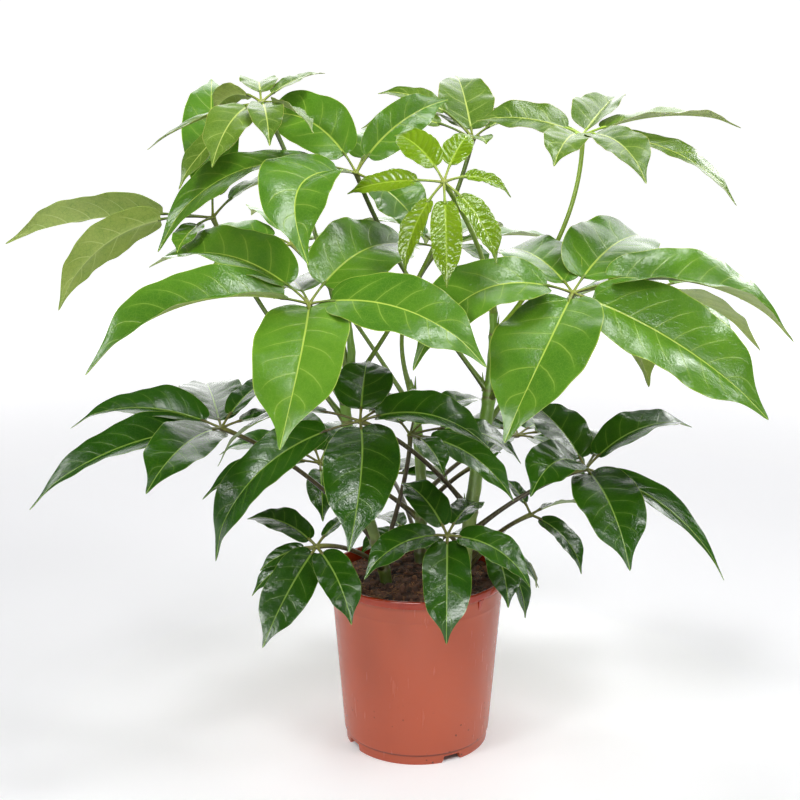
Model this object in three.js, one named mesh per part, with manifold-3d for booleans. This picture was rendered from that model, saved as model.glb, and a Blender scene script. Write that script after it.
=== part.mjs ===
// A potted umbrella plant: a nursery pot, its soil, three stems and palmate compound leaves.
// Millimetres, +Z up.  The origin is on the floor, under the middle of the whole plant seen from above.
// The shapes are drawn round the pot's axis, and moved as one at the end.
// The viewer of the plant's best side looks along +Y, with +X to the right.

import * as THREE from 'three';
import { mergeVertices } from 'three/addons/utils/BufferGeometryUtils.js';
import Module from 'manifold-3d';

const wasm = await Module();
wasm.setup();

// Pot, a tapered plastic nursery pot of 24 cm
const POT_HEIGHT = 240;
const RIM_RADIUS = 120;
const RIM_HEIGHT = 11;
const STEP_RADIUS = 116.5;
const BODY_FOOT_RADIUS = 99.5;
const FOOT_RADIUS = 97;
const FOOT_HEIGHT = 14.5;
const WALL = 2;
const FOOT_WALL = 6;
const POT_SIDES = 48;
const NOTCH_COUNT = 4;
const NOTCH_FIRST_DEG = -61.5;
const NOTCH_WIDTH = 25;
const NOTCH_HEIGHT = 9;

// Soil, filled to just under the rim and heaped a little round the stems
const SOIL_EDGE_Z = 224;
const SOIL_HEAP = 7;
const SOIL_ROUGHNESS = 2.2;
const SOIL_RINGS = 5;
const SOIL_SIDES = 24;
const STEM_HOLE_BOTTOM_Z = 130;

// Clearance between pieces that touch
const GAP = 0.3;

// Where the pot's axis stands from the origin
const POT_AXIS = [26.7, -46.8, 0];

// Stems
const STEM_SIDES = 8;
const STEM_RINGS = 12;

// Leaves: blade thickness at the midrib, and the sections along a petiole and a leaflet
const MIDRIB_THICKNESS = 1.8;
const PETIOLE_RADIUS = 3;
const HUB_RADIUS = 5.4;
const STALK_START = 3.4;
const STALK_RADIUS = 1.6;
const TIP_RADIUS = 0.4;
const PETIOLE_SECTIONS = 6;
const LONG_BLADE_STATIONS = [0.05, 0.17, 0.36, 0.56, 0.74, 0.88];
const SHORT_BLADE_STATIONS = [0.06, 0.28, 0.58, 0.84];
const LONG_REACH = 135;
const FOLD_DEG = 12;
const WAVE_HEIGHT = 0.035;
const WAVES = 2.3;

const DEG = Math.PI / 180;

// Stems as lists of [x, y, z, radius], from inside the soil to the growing tip
const STEMS = {
  stem_right: [[52, -42, 132, 9.5], [58, -42, 230, 9.5], [69, -34, 324, 9], [78, -26, 388, 9],
    [92, -10, 470, 8.5], [98, 0, 550, 6], [98, 8, 600, 4.5]],
  stem_left: [[-38, -26, 132, 8], [-42, -26, 235, 8], [-66, -32, 330, 7.5], [-88, -38, 430, 7],
    [-93, -40, 500, 6.5], [-85, -40, 540, 5.5], [-89, -42, 592, 4]],
  stem_back: [[5, 48, 132, 8], [5, 50, 230, 8], [6, 75, 340, 7.5], [0, 95, 420, 6.5], [-6, 105, 465, 4.5]],
};

// Leaves.  hub: where the leaflets meet.  root: which stem carries the petiole, and how high.
// bow: how far the petiole's middle stands off the straight line, as [x, y, z].
// Each leaflet is [turn, tilt, reach, width, arch, roll, stalk, more]:
// turn round the hub from +X towards +Y, tilt above the level, reach from hub to tip, blade width,
// arch as a share of the reach, roll that lifts the blade's right-hand side, and the bare stalk's length.
// more may give fold, how far both halves lift like a V, sweep, a sideways arch to the right-hand
// side, twist, the roll gained from base to tip, and taper, how much the outer part narrows.
const LEAVES = {
  leaf_front_left: { hub: [-131, -140, 628], root: ['stem_left', 480], bow: [-10, -15, 0], leaflets: [
    [-98.5, -38, 215, 116, 0.10, 0, 8, { sweep: -0.04 }], [-24, -13, 235, 94, 0.13, -36, 28, { fold: 10 }],
    [50, 12, 215, 106, 0.15, -30, 30], [152, 7, 240, 104, 0.15, 17, 34, { fold: 20 }],
    [-160, -13, 278, 90, 0.15, 18, 30, { fold: 32 }], [109, -6, 178, 88, 0.14, 0, 32]] },
  leaf_front_right: { hub: [186, -110, 636], root: ['stem_right', 478], bow: [15, -20, 10], leaflets: [
    [-124, -42, 222, 130, 0.10, 5, 14, { sweep: -0.06 }], [-17, -30, 278, 120, 0.06, -44, 26, { fold: 18 }],
    [12, -13, 308, 100, 0.14, -20, 46, { fold: 28 }], [26, -18, 312, 90, 0.12, 0, 40],
    [56, 12, 226, 112, 0.10, -20, 30], [115, 9, 190, 92, 0.10, 12, 22],
    [-163, -22, 220, 96, 0.24, 28, 28], [43, -41, 216, 84, 0.12, 0, 34]] },
  leaf_young: { hub: [29, -110, 769], root: ['stem_right', 590], bow: [12, 0, 0], kind: 'young', leaflets: [
    [-88, -60, 134, 40, 0.10, 0, 30], [-150, -62, 118, 38, 0.10, 15, 28], [166, -7, 122, 34, 0.06, 45, 34],
    [130, 30, 108, 46, 0.10, 30, 24], [61, 38, 90, 36, 0.08, -20, 26], [13, -12, 88, 28, 0.16, -30, 26],
    [-31, -51, 118, 42, 0.10, -20, 26]] },
  leaf_top_left: { hub: [-198, 20, 857], root: ['stem_left', 520], bow: [8, 10, 20], leaflets: [
    [50, 17, 124, 34, 0.06, 0, 26], [-172, -21, 156, 30, 0.06, 5, 26], [-145, -39, 158, 42, 0.06, 20, 40],
    [-113, -29, 146, 60, 0.14, 10, 34], [-80, -21, 124, 46, 0.12, 0, 24], [-41, -19, 100, 44, 0.12, 20, 24],
    [142, -10, 88, 40, 0.20, -34, 22], [98, 11, 113, 52, 0.12, 0, 24]] },
  leaf_left: { hub: [-261, 0, 714], root: ['stem_left', 455], bow: [-20, 10, 10], leaflets: [
    [172, -7, 282, 72, 0.06, -33, 66, { fold: 30 }], [-163, -28, 228, 68, 0.18, -55, 60, { fold: 8 }],
    [96, 45, 246, 78, 0.12, 0, 30], [24, 14, 142, 52, 0.18, 0, 30], [-120, -24, 84, 40, 0.1, 0, 30]] },
  leaf_top: { hub: [-78, -10, 771], root: ['stem_right', 487], bow: [-22, 20, 10], leaflets: [
    [143, 21, 182, 84, 0.17, 46, 26], [-106, -26, 202, 104, 0.20, 5, 22, { sweep: 0.18, fold: 20 }],
    [-173, -20, 272, 76, 0.20, 5, 40, { twist: 50 }], [-20, -40, 120, 80, 0.10, -30, 24],
    [27, 34, 160, 56, 0.10, -70, 26], [70, 10, 170, 76, 0.15, 0, 28]] },
  leaf_top_middle: { hub: [72, 70, 808], root: ['stem_left', 492], bow: [22, 30, 0], leaflets: [
    [97, 30, 165, 78, 0.06, 0, 20], [154, 23, 152, 34, 0.12, 30, 52], [172, 6, 150, 42, 0.12, 30, 46],
    [120, 10, 120, 50, 0.14, 0, 24], [-76, -1, 60, 30, 0.10, 0, 26], [35, 8, 110, 44, 0.14, 0, 28]] },
  leaf_top_right: { hub: [211, 40, 815], root: ['stem_right', 560], bow: [30, 10, 0], leaflets: [
    [15, 3, 226, 72, 0.08, 0, 30], [-12, -22, 218, 54, 0.12, -18, 44], [-64, -18, 152, 66, 0.14, -10, 24],
    [66, 17, 158, 76, 0.02, 0, 20, { fold: 30 }], [177, 8, 138, 66, 0.08, 32, 22],
    [-113, -13, 126, 60, 0.12, 10, 26],
    [143, 13, 150, 42, 0.06, 10, 30]] },
  leaf_low_right: { hub: [217, -50, 396], root: ['stem_right', 300], bow: [0, 0, 12], kind: 'old', leaflets: [
    [130, 33, 128, 76, 0.09, 8, 16], [25, 14, 172, 66, 0.14, -12, 22, { fold: 22 }],
    [-19, -35, 226, 46, 0.12, -30, 26, { fold: 25, taper: 0.6 }], [-76, -28, 175, 86, 0.12, -10, 14],
    [-138, -8, 106, 74, 0.28, 20, 14], [118, -16, 128, 52, 0.1, 0, 26], [60, 0, 150, 66, 0.14, 0, 28]] },
  leaf_small_right: { hub: [154, 20, 310], root: ['stem_right', 262], bow: [0, 0, 8], kind: 'old', leaflets: [
    [-31, -41, 106, 42, 0.15, -10, 14], [23, 5, 80, 34, 0.10, 20, 16], [132, 40, 64, 24, 0.08, 0, 18]] },
  leaf_low_left: { hub: [-251, -60, 453], root: ['stem_left', 290], bow: [0, 0, 20], kind: 'old', leaflets: [
    [160, -4, 230, 72, 0.11, 24, 24, { fold: 25, taper: 0.6 }],
    [-166, -19, 262, 80, 0.10, 22, 34, { fold: 25, taper: 0.5 }],
    [-112, -10, 185, 80, 0.10, 15, 18], [104, 7, 188, 92, 0.05, 0, 22], [58, 20, 130, 40, 0.10, 0, 24],
    [20, -4, 120, 50, 0.12, 0, 26]] },
  leaf_front: { hub: [-72, -120, 478], root: ['stem_right', 332], bow: [0, -10, 20], kind: 'old', leaflets: [
    [-94, -38, 188, 94, 0.12, 0, 14, { sweep: -0.05 }], [-11, -9, 165, 66, 0.16, -27, 20, { fold: 24 }],
    [84, 40, 98, 78, 0.10, 0, 16], [-170, -42, 255, 74, 0.16, 32, 40], [172, -18, 198, 42, 0.19, 0, 40],
    [40, 0, 130, 60, 0.12, 0, 24]] },
  leaf_middle: { hub: [-10, -60, 444], root: ['stem_left', 262], bow: [10, 0, 20], kind: 'old', leaflets: [
    [-24, -26, 158, 50, 0.14, -25, 26], [9, -16, 156, 50, 0.16, -20, 38], [78, 12, 132, 48, 0.12, 0, 26],
    [42, 10, 142, 48, 0.12, -10, 30], [-60, -20, 90, 42, 0.14, 0, 22], [120, 5, 110, 56, 0.12, 0, 26]] },
  leaf_low_front: { hub: [36, -130, 333], root: ['stem_right', 250], bow: [0, -12, 20], kind: 'old', leaflets: [
    [-92, -50, 140, 64, 0.12, 0, 10], [-159, -20, 120, 52, 0.16, 20, 14], [-22, -25, 122, 52, 0.16, -22, 14],
    [126, 25, 110, 48, 0.12, 20, 14], [14, -33, 148, 46, 0.14, -20, 22], [61, 10, 100, 44, 0.12, 0, 20]] },
  leaf_low_front_left: { hub: [-128, -120, 315], root: ['stem_left', 250], bow: [0, -10, 15], kind: 'old', leaflets: [
    [155, 13, 104, 46, 0.14, 20, 12], [-125, -42, 146, 62, 0.05, 28, 10], [-55, -44, 112, 54, 0.12, -10, 12],
    [-172, -21, 78, 24, 0.10, 40, 16], [56, 17, 80, 20, 0.08, 0, 18], [-172, -36, 104, 28, 0.08, 30, 20]] },
  leaf_low_behind: { hub: [100, -10, 280], root: ['stem_right', 240], bow: [0, 0, 6], kind: 'old', leaflets: [
    [-76, -39, 99, 48, 0.16, 0, 12], [-42, -57, 109, 40, 0.14, 0, 16], [9, -45, 94, 38, 0.14, 0, 16],
    [90, -20, 110, 48, 0.14, 0, 18], [140, -10, 90, 40, 0.14, 0, 18]] },
  leaf_inner: { hub: [-16, 20, 285], root: ['stem_back', 266], bow: [0, 0, 4], kind: 'old', leaflets: [
    [-150, -14, 72, 40, 0.12, 10, 12], [120, 0, 80, 40, 0.12, 0, 14], [-40, -18, 76, 36, 0.12, -10, 12]] },
  leaf_small_middle: { hub: [74, 10, 381], root: ['stem_back', 300], bow: [0, 0, 6], kind: 'old', leaflets: [
    [153, 37, 56, 26, 0.12, 10, 12], [46, 9, 60, 26, 0.12, 0, 12], [100, 20, 62, 28, 0.12, 0, 12]] },
  leaf_back_pale: { hub: [33, 170, 652], root: ['stem_back', 455], bow: [-32, 12, 0], leaflets: [
    [12, 1, 186, 60, 0.08, 0, 30], [-48, -8, 100, 44, 0.12, 0, 26], [50, 3, 156, 58, 0.13, 0, 32],
    [96, -5, 170, 62, 0.13, 0, 30], [142, 6, 160, 56, 0.14, 0, 32], [-165, -12, 150, 58, 0.14, 10, 28]] },
  leaf_back_left: { hub: [-178, 230, 648], root: ['stem_back', 430], bow: [-10, 10, 25], leaflets: [
    [162, -4, 175, 62, 0.14, 10, 32], [-150, -25, 160, 60, 0.14, 15, 28], [114, 8, 190, 66, 0.14, 0, 32],
    [66, -12, 170, 64, 0.14, 0, 32], [12, -8, 150, 58, 0.14, 0, 28], [-40, -25, 150, 58, 0.14, 0, 28]] },
  leaf_back_right: { hub: [345, 220, 584], root: ['stem_right', 440], bow: [0, 20, 40], leaflets: [
    [20, -8, 150, 60, 0.14, 0, 28], [76, 8, 170, 64, 0.14, 0, 30], [-34, -27, 140, 56, 0.14, 0, 26],
    [130, -2, 180, 64, 0.14, 0, 30], [-176, -12, 150, 56, 0.14, 0, 28], [-100, -25, 130, 54, 0.14, 0, 26]] },
  leaf_low_back_left: { hub: [-136, 120, 353], root: ['stem_back', 288], bow: [0, 0, 12], kind: 'old', leaflets: [
    [165, 2, 156, 58, 0.14, 15, 24], [-163, -12, 174, 50, 0.14, 15, 24], [115, 15, 150, 60, 0.14, 0, 22],
    [68, 12, 130, 56, 0.14, 0, 22], [15, -9, 110, 46, 0.12, 0, 22], [-85, -30, 108, 44, 0.12, 0, 20]] },
  leaf_low_back_right: { hub: [150, 200, 372], root: ['stem_back', 318], bow: [0, 10, 14], kind: 'old', leaflets: [
    [5, -12, 128, 56, 0.12, 0, 26], [52, -10, 160, 64, 0.12, 0, 26], [100, -4, 170, 66, 0.14, 0, 26],
    [150, -8, 150, 58, 0.14, 0, 24], [-45, -20, 140, 56, 0.14, 0, 24], [-130, -18, 120, 50, 0.14, 0, 24]] },
  leaf_low_back: { hub: [-40, 240, 300], root: ['stem_back', 245], bow: [0, 10, 12], kind: 'old', leaflets: [
    [90, -20, 150, 62, 0.14, 0, 22], [45, -16, 140, 58, 0.14, 0, 22], [140, -14, 145, 60, 0.14, 0, 22],
    [-175, -18, 120, 50, 0.14, 0, 20], [5, -20, 115, 48, 0.14, 0, 20]] },
};

// Small helpers on vectors
const vec = (p) => new THREE.Vector3(p[0], p[1], p[2]);
const along = (turn, tilt) => new THREE.Vector3(
  Math.cos(tilt * DEG) * Math.cos(turn * DEG),
  Math.cos(tilt * DEG) * Math.sin(turn * DEG),
  Math.sin(tilt * DEG),
);
const moved = (p, ...steps) => {
  const q = p.clone();
  for (const [direction, distance] of steps) {
    q.addScaledVector(direction, distance);
  }
  return q;
};

// A closed solid through rings of equal point count, from one end to the other
function loft(rings) {
  const count = rings[0].length;
  const points = rings.flat();
  const faces = [];
  for (let r = 0; r + 1 < rings.length; r++) {
    for (let k = 0; k < count; k++) {
      const a = r * count + k;
      const b = r * count + (k + 1) % count;
      // The diagonals mirror each other on the two faces of a blade
      if (k % 2) {
        faces.push([a, b, a + count], [b, b + count, a + count]);
      } else {
        faces.push([a, b, b + count], [a, b + count, a + count]);
      }
    }
  }
  const last = (rings.length - 1) * count;
  for (let k = 1; k + 1 < count; k++) {
    faces.push([0, k + 1, k]);
    faces.push([last, last + k, last + k + 1]);
  }
  return closedGeometry(points, faces);
}

// Geometry from points and faces, with the faces that a collapsed ring makes flat left out
function closedGeometry(points, faces) {
  const flat = new THREE.BufferGeometry();
  flat.setAttribute('position', new THREE.BufferAttribute(new Float32Array(
    faces.flatMap((f) => f.flatMap((i) => points[i].toArray())),
  ), 3));
  const merged = mergeVertices(flat, 1e-3);
  const index = merged.getIndex().array;
  const kept = [];
  for (let i = 0; i < index.length; i += 3) {
    const [a, b, c] = [index[i], index[i + 1], index[i + 2]];
    if (a !== b && b !== c && c !== a) {
      kept.push(a, b, c);
    }
  }
  merged.setIndex(kept);
  return merged;
}

function solidOf(geometry) {
  const bare = geometry.clone();
  bare.deleteAttribute('normal');
  bare.deleteAttribute('uv');
  const merged = mergeVertices(bare, 1e-3);
  return new wasm.Manifold(new wasm.Mesh({
    numProp: 3,
    vertProperties: new Float32Array(merged.getAttribute('position').array),
    triVerts: new Uint32Array(merged.getIndex().array),
  }));
}

function geometryOf(solid) {
  const mesh = solid.getMesh();
  const geometry = new THREE.BufferGeometry();
  geometry.setAttribute('position', new THREE.BufferAttribute(new Float32Array(mesh.vertProperties), 3));
  geometry.setIndex(new THREE.BufferAttribute(new Uint32Array(mesh.triVerts), 1));
  return geometry;
}

// A repeatable draw between 0 and 1 for a whole number
function draw(n) {
  const x = Math.sin(n * 12.9898 + 4.1414) * 43758.5453;
  return x - Math.floor(x);
}

// A round tube of varying radius along a smooth curve through [x, y, z, radius] points
function taperedTube(points, sides, rings, grow = 0) {
  const curve = new THREE.CatmullRomCurve3(points.map(vec));
  const frames = curve.computeFrenetFrames(rings, false);
  const sections = [];
  for (let i = 0; i <= rings; i++) {
    const t = i / rings;
    const centre = curve.getPointAt(t);
    const place = curve.getUtoTmapping(t) * (points.length - 1);
    const from = Math.min(Math.floor(place), points.length - 2);
    const radius = THREE.MathUtils.lerp(points[from][3], points[from + 1][3], place - from) + grow;
    sections.push(Array.from({ length: sides }, (_, k) => {
      const angle = 2 * Math.PI * k / sides;
      return moved(centre, [frames.normals[i], radius * Math.cos(angle)],
        [frames.binormals[i], radius * Math.sin(angle)]);
    }));
  }
  return loft(sections);
}

// The leaflet's midrib: its point, sideways and outward directions at share t of the way from hub to tip
function midrib(hub, [turn, tilt, reach, , arch, roll, stalk, { sweep = 0, twist = 0 } = {}]) {
  const ahead = along(turn, tilt);
  const up = along(turn, tilt + 90);
  const right = new THREE.Vector3().crossVectors(ahead, up);
  return (t) => {
    const bulge = 4 * t * (1 - t);
    const lean = 4 * (1 - 2 * t);
    const forward = moved(ahead, [up, arch * lean], [right, sweep * lean]).normalize();
    const level = new THREE.Vector3().crossVectors(forward, up).normalize();
    const square = new THREE.Vector3().crossVectors(level, forward);
    const turned = (roll + twist * Math.max(0, t - stalk / reach)) * DEG;
    const across = moved(new THREE.Vector3(), [level, Math.cos(turned)], [square, Math.sin(turned)]);
    return {
      point: moved(hub, [ahead, reach * t], [up, arch * reach * bulge], [right, sweep * reach * bulge]),
      across,
      out: new THREE.Vector3().crossVectors(across, forward),
    };
  };
}

// Half of the blade's width at share v of its length: round at the base, drawn out at the tip
function halfWidth(width, taper, v) {
  const body = Math.sin(Math.PI * v ** 0.72) ** 0.62;
  const outer = 1 - taper * THREE.MathUtils.smoothstep(v, 0.2, 1);
  const tip = 1 - 0.45 * THREE.MathUtils.smoothstep(v, 0.7, 1);
  return width / 2 * body * outer * tip;
}

// One leaflet: a thin stalk that widens into an arched blade with lifted, waved halves
function leafletGeometry(hub, leaflet, seed) {
  const [, , reach, width, arch, , stalk, { fold = FOLD_DEG, taper = 0, sweep = 0 } = {}] = leaflet;
  const at = midrib(hub, leaflet);
  const base = stalk / reach;
  const ring = (t, reachOut, liftRight, liftLeft, thick) => {
    const { point, across, out } = at(t);
    return [
      moved(point, [across, reachOut], [out, liftRight]),
      moved(point, [out, -thick]),
      moved(point, [across, -reachOut], [out, liftLeft]),
      moved(point, [out, thick]),
    ];
  };
  const start = STALK_START / reach / Math.hypot(1, 4 * arch, 4 * sweep);
  const rings = [start, base].map((t) => ring(t, STALK_RADIUS, 0, 0, STALK_RADIUS));
  const phase = 2 * Math.PI * draw(seed);
  for (const v of reach > LONG_REACH ? LONG_BLADE_STATIONS : SHORT_BLADE_STATIONS) {
    const half = halfWidth(width, taper, v);
    const lift = half * Math.sin(fold * DEG);
    const wave = (shift) => 2 * WAVE_HEIGHT * half * Math.sin(2 * Math.PI * WAVES * v + phase + shift);
    rings.push(ring(base + (1 - base) * v, half * Math.cos(fold * DEG), lift + wave(0), lift + wave(2),
      MIDRIB_THICKNESS / 2));
  }
  rings.push(ring(1, TIP_RADIUS, 0, 0, TIP_RADIUS));
  return loft(rings);
}

// The point of a stem's curve at a height
function stemPoint(name, z) {
  const curve = new THREE.CatmullRomCurve3(STEMS[name].map(vec));
  let low = 0;
  let high = 1;
  for (let i = 0; i < 30; i++) {
    const middle = (low + high) / 2;
    if (curve.getPoint(middle).z < z) {
      low = middle;
    } else {
      high = middle;
    }
  }
  return curve.getPoint(low);
}

// The petiole's curve, from inside the stem to the hub
function petiolePoints(leaf) {
  const root = stemPoint(...leaf.root);
  const hub = vec(leaf.hub);
  const bow = vec(leaf.bow);
  const points = [];
  for (let i = 0; i <= PETIOLE_SECTIONS; i++) {
    const t = i / PETIOLE_SECTIONS;
    const p = root.clone().lerp(hub, t).addScaledVector(bow, 4 * t * (1 - t));
    const radius = PETIOLE_RADIUS * (leaf.girth ?? 1) * (1 + 0.6 * (1 - t) ** 4);
    points.push([p.x, p.y, p.z, radius]);
  }
  return points;
}

function leafSolid(leaf, order) {
  const hub = vec(leaf.hub);
  let solid = solidOf(taperedTube(petiolePoints(leaf), 4, PETIOLE_SECTIONS));
  const knob = new THREE.IcosahedronGeometry(HUB_RADIUS * (leaf.girth ?? 1), 0);
  solid = solid.add(solidOf(knob.translate(hub.x, hub.y, hub.z)));
  leaf.leaflets.forEach((leaflet, i) => {
    solid = solid.add(solidOf(leafletGeometry(hub, leaflet, order * 10 + i)));
  });
  const stem = solidOf(taperedTube(STEMS[leaf.root[0]], STEM_SIDES, STEM_RINGS, GAP));
  return solid.subtract(stem);
}

const COLOURS = { upper: 0x5a9a2f, old: 0x2f6a28, young: 0xa3c83a };

const group = new THREE.Group();

function addPiece(name, geometry, colour, roughness) {
  const material = new THREE.MeshStandardMaterial({ color: colour, roughness, metalness: 0 });
  const mesh = new THREE.Mesh(geometry.translate(...POT_AXIS), material);
  mesh.name = name;
  group.add(mesh);
}

function potGeometry() {
  const rimFoot = POT_HEIGHT - RIM_HEIGHT;
  const inside = (z) => {
    const share = (z - FOOT_HEIGHT) / (rimFoot - FOOT_HEIGHT);
    return THREE.MathUtils.lerp(BODY_FOOT_RADIUS, STEP_RADIUS, share) - WALL;
  };
  const profile = [
    [0, FOOT_HEIGHT - WALL], [FOOT_RADIUS - FOOT_WALL, FOOT_HEIGHT - WALL], [FOOT_RADIUS - FOOT_WALL, 0],
    [FOOT_RADIUS, 0], [FOOT_RADIUS, FOOT_HEIGHT], [BODY_FOOT_RADIUS, FOOT_HEIGHT],
    [STEP_RADIUS, rimFoot], [RIM_RADIUS - 1, rimFoot], [RIM_RADIUS, rimFoot + 2],
    [RIM_RADIUS, POT_HEIGHT - 2], [RIM_RADIUS - 1.5, POT_HEIGHT], [RIM_RADIUS - 3.5, POT_HEIGHT - 1],
    [inside(rimFoot), rimFoot - 1], [inside(FOOT_HEIGHT + 2), FOOT_HEIGHT + 2], [0, FOOT_HEIGHT + 2],
  ];
  const turned = new THREE.LatheGeometry(profile.map(([r, z]) => new THREE.Vector2(r, z)), POT_SIDES);
  turned.rotateX(Math.PI / 2);
  let pot = solidOf(turned);
  for (let i = 0; i < NOTCH_COUNT; i++) {
    const notch = new THREE.BoxGeometry(30, NOTCH_WIDTH, 2 * NOTCH_HEIGHT);
    notch.translate(FOOT_RADIUS, 0, 0);
    notch.rotateZ((NOTCH_FIRST_DEG + 360 * i / NOTCH_COUNT) * DEG);
    pot = pot.subtract(solidOf(notch));
  }
  return geometryOf(pot);
}

function soilGeometry() {
  const bottom = FOOT_HEIGHT + 2 + GAP;
  const share = (SOIL_EDGE_Z - FOOT_HEIGHT) / (POT_HEIGHT - RIM_HEIGHT - FOOT_HEIGHT);
  const topRadius = THREE.MathUtils.lerp(BODY_FOOT_RADIUS, STEP_RADIUS, share) - WALL - GAP - 0.5;
  const bottomRadius = BODY_FOOT_RADIUS - WALL - GAP - 0.5;
  const ring = (radius, height) => Array.from({ length: SOIL_SIDES }, (_, k) => {
    const angle = -2 * Math.PI * k / SOIL_SIDES;
    return new THREE.Vector3(radius * Math.cos(angle), radius * Math.sin(angle), height(k));
  });
  const rings = [];
  for (let r = 0; r < SOIL_RINGS; r++) {
    const out = (r + 0.15) / SOIL_RINGS;
    rings.push(ring(topRadius * out, (k) => SOIL_EDGE_Z + SOIL_HEAP * (1 - out * out)
      + SOIL_ROUGHNESS * (2 * draw(r * SOIL_SIDES + k) - 1)));
  }
  rings.push(ring(topRadius, () => SOIL_EDGE_Z));
  rings.push(ring(bottomRadius, () => bottom));
  let soil = solidOf(loft(rings));
  for (const points of Object.values(STEMS)) {
    const [[x, y, , radius], ...rest] = points;
    const hole = [[x, y, STEM_HOLE_BOTTOM_Z - GAP, radius], ...rest];
    soil = soil.subtract(solidOf(taperedTube(hole, STEM_SIDES, STEM_RINGS, GAP)));
  }
  return geometryOf(soil);
}

addPiece('pot', potGeometry(), 0xb9573c, 0.42);
addPiece('soil', soilGeometry(), 0x3a2a1e, 0.95);
for (const [name, points] of Object.entries(STEMS)) {
  addPiece(name, taperedTube(points, STEM_SIDES, STEM_RINGS), 0x5f8238, 0.6);
}
Object.entries(LEAVES).forEach(([name, leaf], order) => {
  addPiece(name, geometryOf(leafSolid(leaf, order)), COLOURS[leaf.kind ?? 'upper'], 0.3);
});

export default group;
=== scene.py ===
# %% [markdown]
# # A potted umbrella plant
# The real object is a nursery pot full of peat, three woody green stems, and compound leaves: a long
# stalk that ends in a hub, and up to eight leaflets that spread from the hub like the ribs of an umbrella.
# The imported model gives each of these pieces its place.  This script dresses them one after the other:
# pot, soil, stems, leaf stalks and blades, with a material for each finish.

import math
import random

import bpy
import numpy as np
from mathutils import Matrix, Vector, noise


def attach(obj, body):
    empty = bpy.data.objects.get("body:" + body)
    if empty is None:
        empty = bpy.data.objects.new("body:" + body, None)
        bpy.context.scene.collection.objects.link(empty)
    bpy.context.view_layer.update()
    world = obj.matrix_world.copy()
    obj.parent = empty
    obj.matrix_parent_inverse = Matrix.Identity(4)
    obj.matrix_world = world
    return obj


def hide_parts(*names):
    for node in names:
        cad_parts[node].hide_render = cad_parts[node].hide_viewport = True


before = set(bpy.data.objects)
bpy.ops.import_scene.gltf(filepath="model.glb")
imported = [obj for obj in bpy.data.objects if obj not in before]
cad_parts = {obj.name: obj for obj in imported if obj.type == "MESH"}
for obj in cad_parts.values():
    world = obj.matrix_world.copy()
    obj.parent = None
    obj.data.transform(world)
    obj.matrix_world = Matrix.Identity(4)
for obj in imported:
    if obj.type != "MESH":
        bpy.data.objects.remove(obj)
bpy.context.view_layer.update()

# %% [markdown]
# All sizes are in millimetres round the pot's axis, as in the part's source, and `to_frame` turns them
# into the frame's metres.  The plant leans to one side of its pot, so the pot's axis isn't the origin.

# %% Shared measures
MM = 0.001
POT_AXIS = np.array([26.7, -46.8, 0.0])


def to_frame(points):
    """Millimetres round the pot's axis to metres in the frame."""
    return (np.asarray(points, float) + POT_AXIS) * MM


def rgb(hexadecimal):
    """A colour as a screen shows it, to the linear colour that a shader takes."""
    parts = [int(hexadecimal[i:i + 2], 16) / 255 for i in (0, 2, 4)]
    return tuple(x / 12.92 if x <= 0.04045 else ((x + 0.055) / 1.055) ** 2.4 for x in parts) + (1.0,)


def smoothstep(low, high, x):
    x = np.clip((x - low) / (high - low), 0, 1)
    return x * x * (3 - 2 * x)


def draw(n):
    """A repeatable draw between 0 and 1 for a whole number, the same as the part's source makes."""
    x = math.sin(n * 12.9898 + 4.1414) * 43758.5453
    return x - math.floor(x)


# %% [markdown]
# ## Camera
# The photograph looks slightly down on the plant from about 1.8 m away.  Its distance, height and tilt
# come from the ellipses of the pot's rim and foot, and the lens from the size of the pot in the frame.

# %% Camera
CAMERA_PLACE = (-23, -1811, 926)
CAMERA_PITCH_DEG = 13.98
LENS_MM = 64.0

camera = bpy.data.objects.new("camera", bpy.data.cameras.new("camera"))
camera.location = to_frame(CAMERA_PLACE)
camera.rotation_euler = (math.radians(90 - CAMERA_PITCH_DEG), 0, 0)
camera.data.lens = LENS_MM
camera.data.sensor_width = 36
camera.data.clip_end = 200
bpy.context.scene.collection.objects.link(camera)
bpy.context.scene.camera = camera
print("camera at", [round(x, 3) for x in camera.location])

# %% [markdown]
# ## Small tools for shaders
# A material is a tree of nodes.  `add` makes one node and sets or links its sockets by name, so that
# each finish below reads as a list of what it is made of.

# %% Node helpers
def wire(tree, socket, value):
    """Links a socket to another node's output, or sets it to a plain value; a string is a colour."""
    if isinstance(value, bpy.types.NodeSocket):
        tree.links.new(value, socket)
    elif value is not None:
        socket.default_value = rgb(value) if isinstance(value, str) else value


def add(tree, kind, sockets=None, **settings):
    node = tree.nodes.new(kind)
    for name, value in settings.items():
        setattr(node, name, value)
    for name, value in (sockets or {}).items():
        wire(tree, node.inputs[name], value)
    return node


def calc(tree, operation, *values):
    node = add(tree, "ShaderNodeMath", operation=operation)
    for socket, value in zip(node.inputs, values):
        wire(tree, socket, value)
    return node.outputs[0]


def times(tree, first, second):
    return calc(tree, "MULTIPLY", first, second)


def blend(tree, factor, first, second):
    """Two colours mixed by a mask."""
    node = add(tree, "ShaderNodeMix", data_type="RGBA")
    wire(tree, node.inputs[0], factor)
    wire(tree, node.inputs[6], first)
    wire(tree, node.inputs[7], second)
    return node.outputs[2]


def tint(tree, base, mask, share, colour):
    """A colour laid over a base by a share of a mask."""
    return blend(tree, times(tree, mask, share), base, colour)


def ramp(tree, value, low, high, start=0.0, end=1.0):
    """A smooth step of a value from `low` to `high`."""
    node = add(tree, "ShaderNodeMapRange", {"From Min": low, "From Max": high, "To Min": start,
                                            "To Max": end, "Value": value})
    node.interpolation_type = "SMOOTHSTEP"
    return node.outputs[0]


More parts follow.
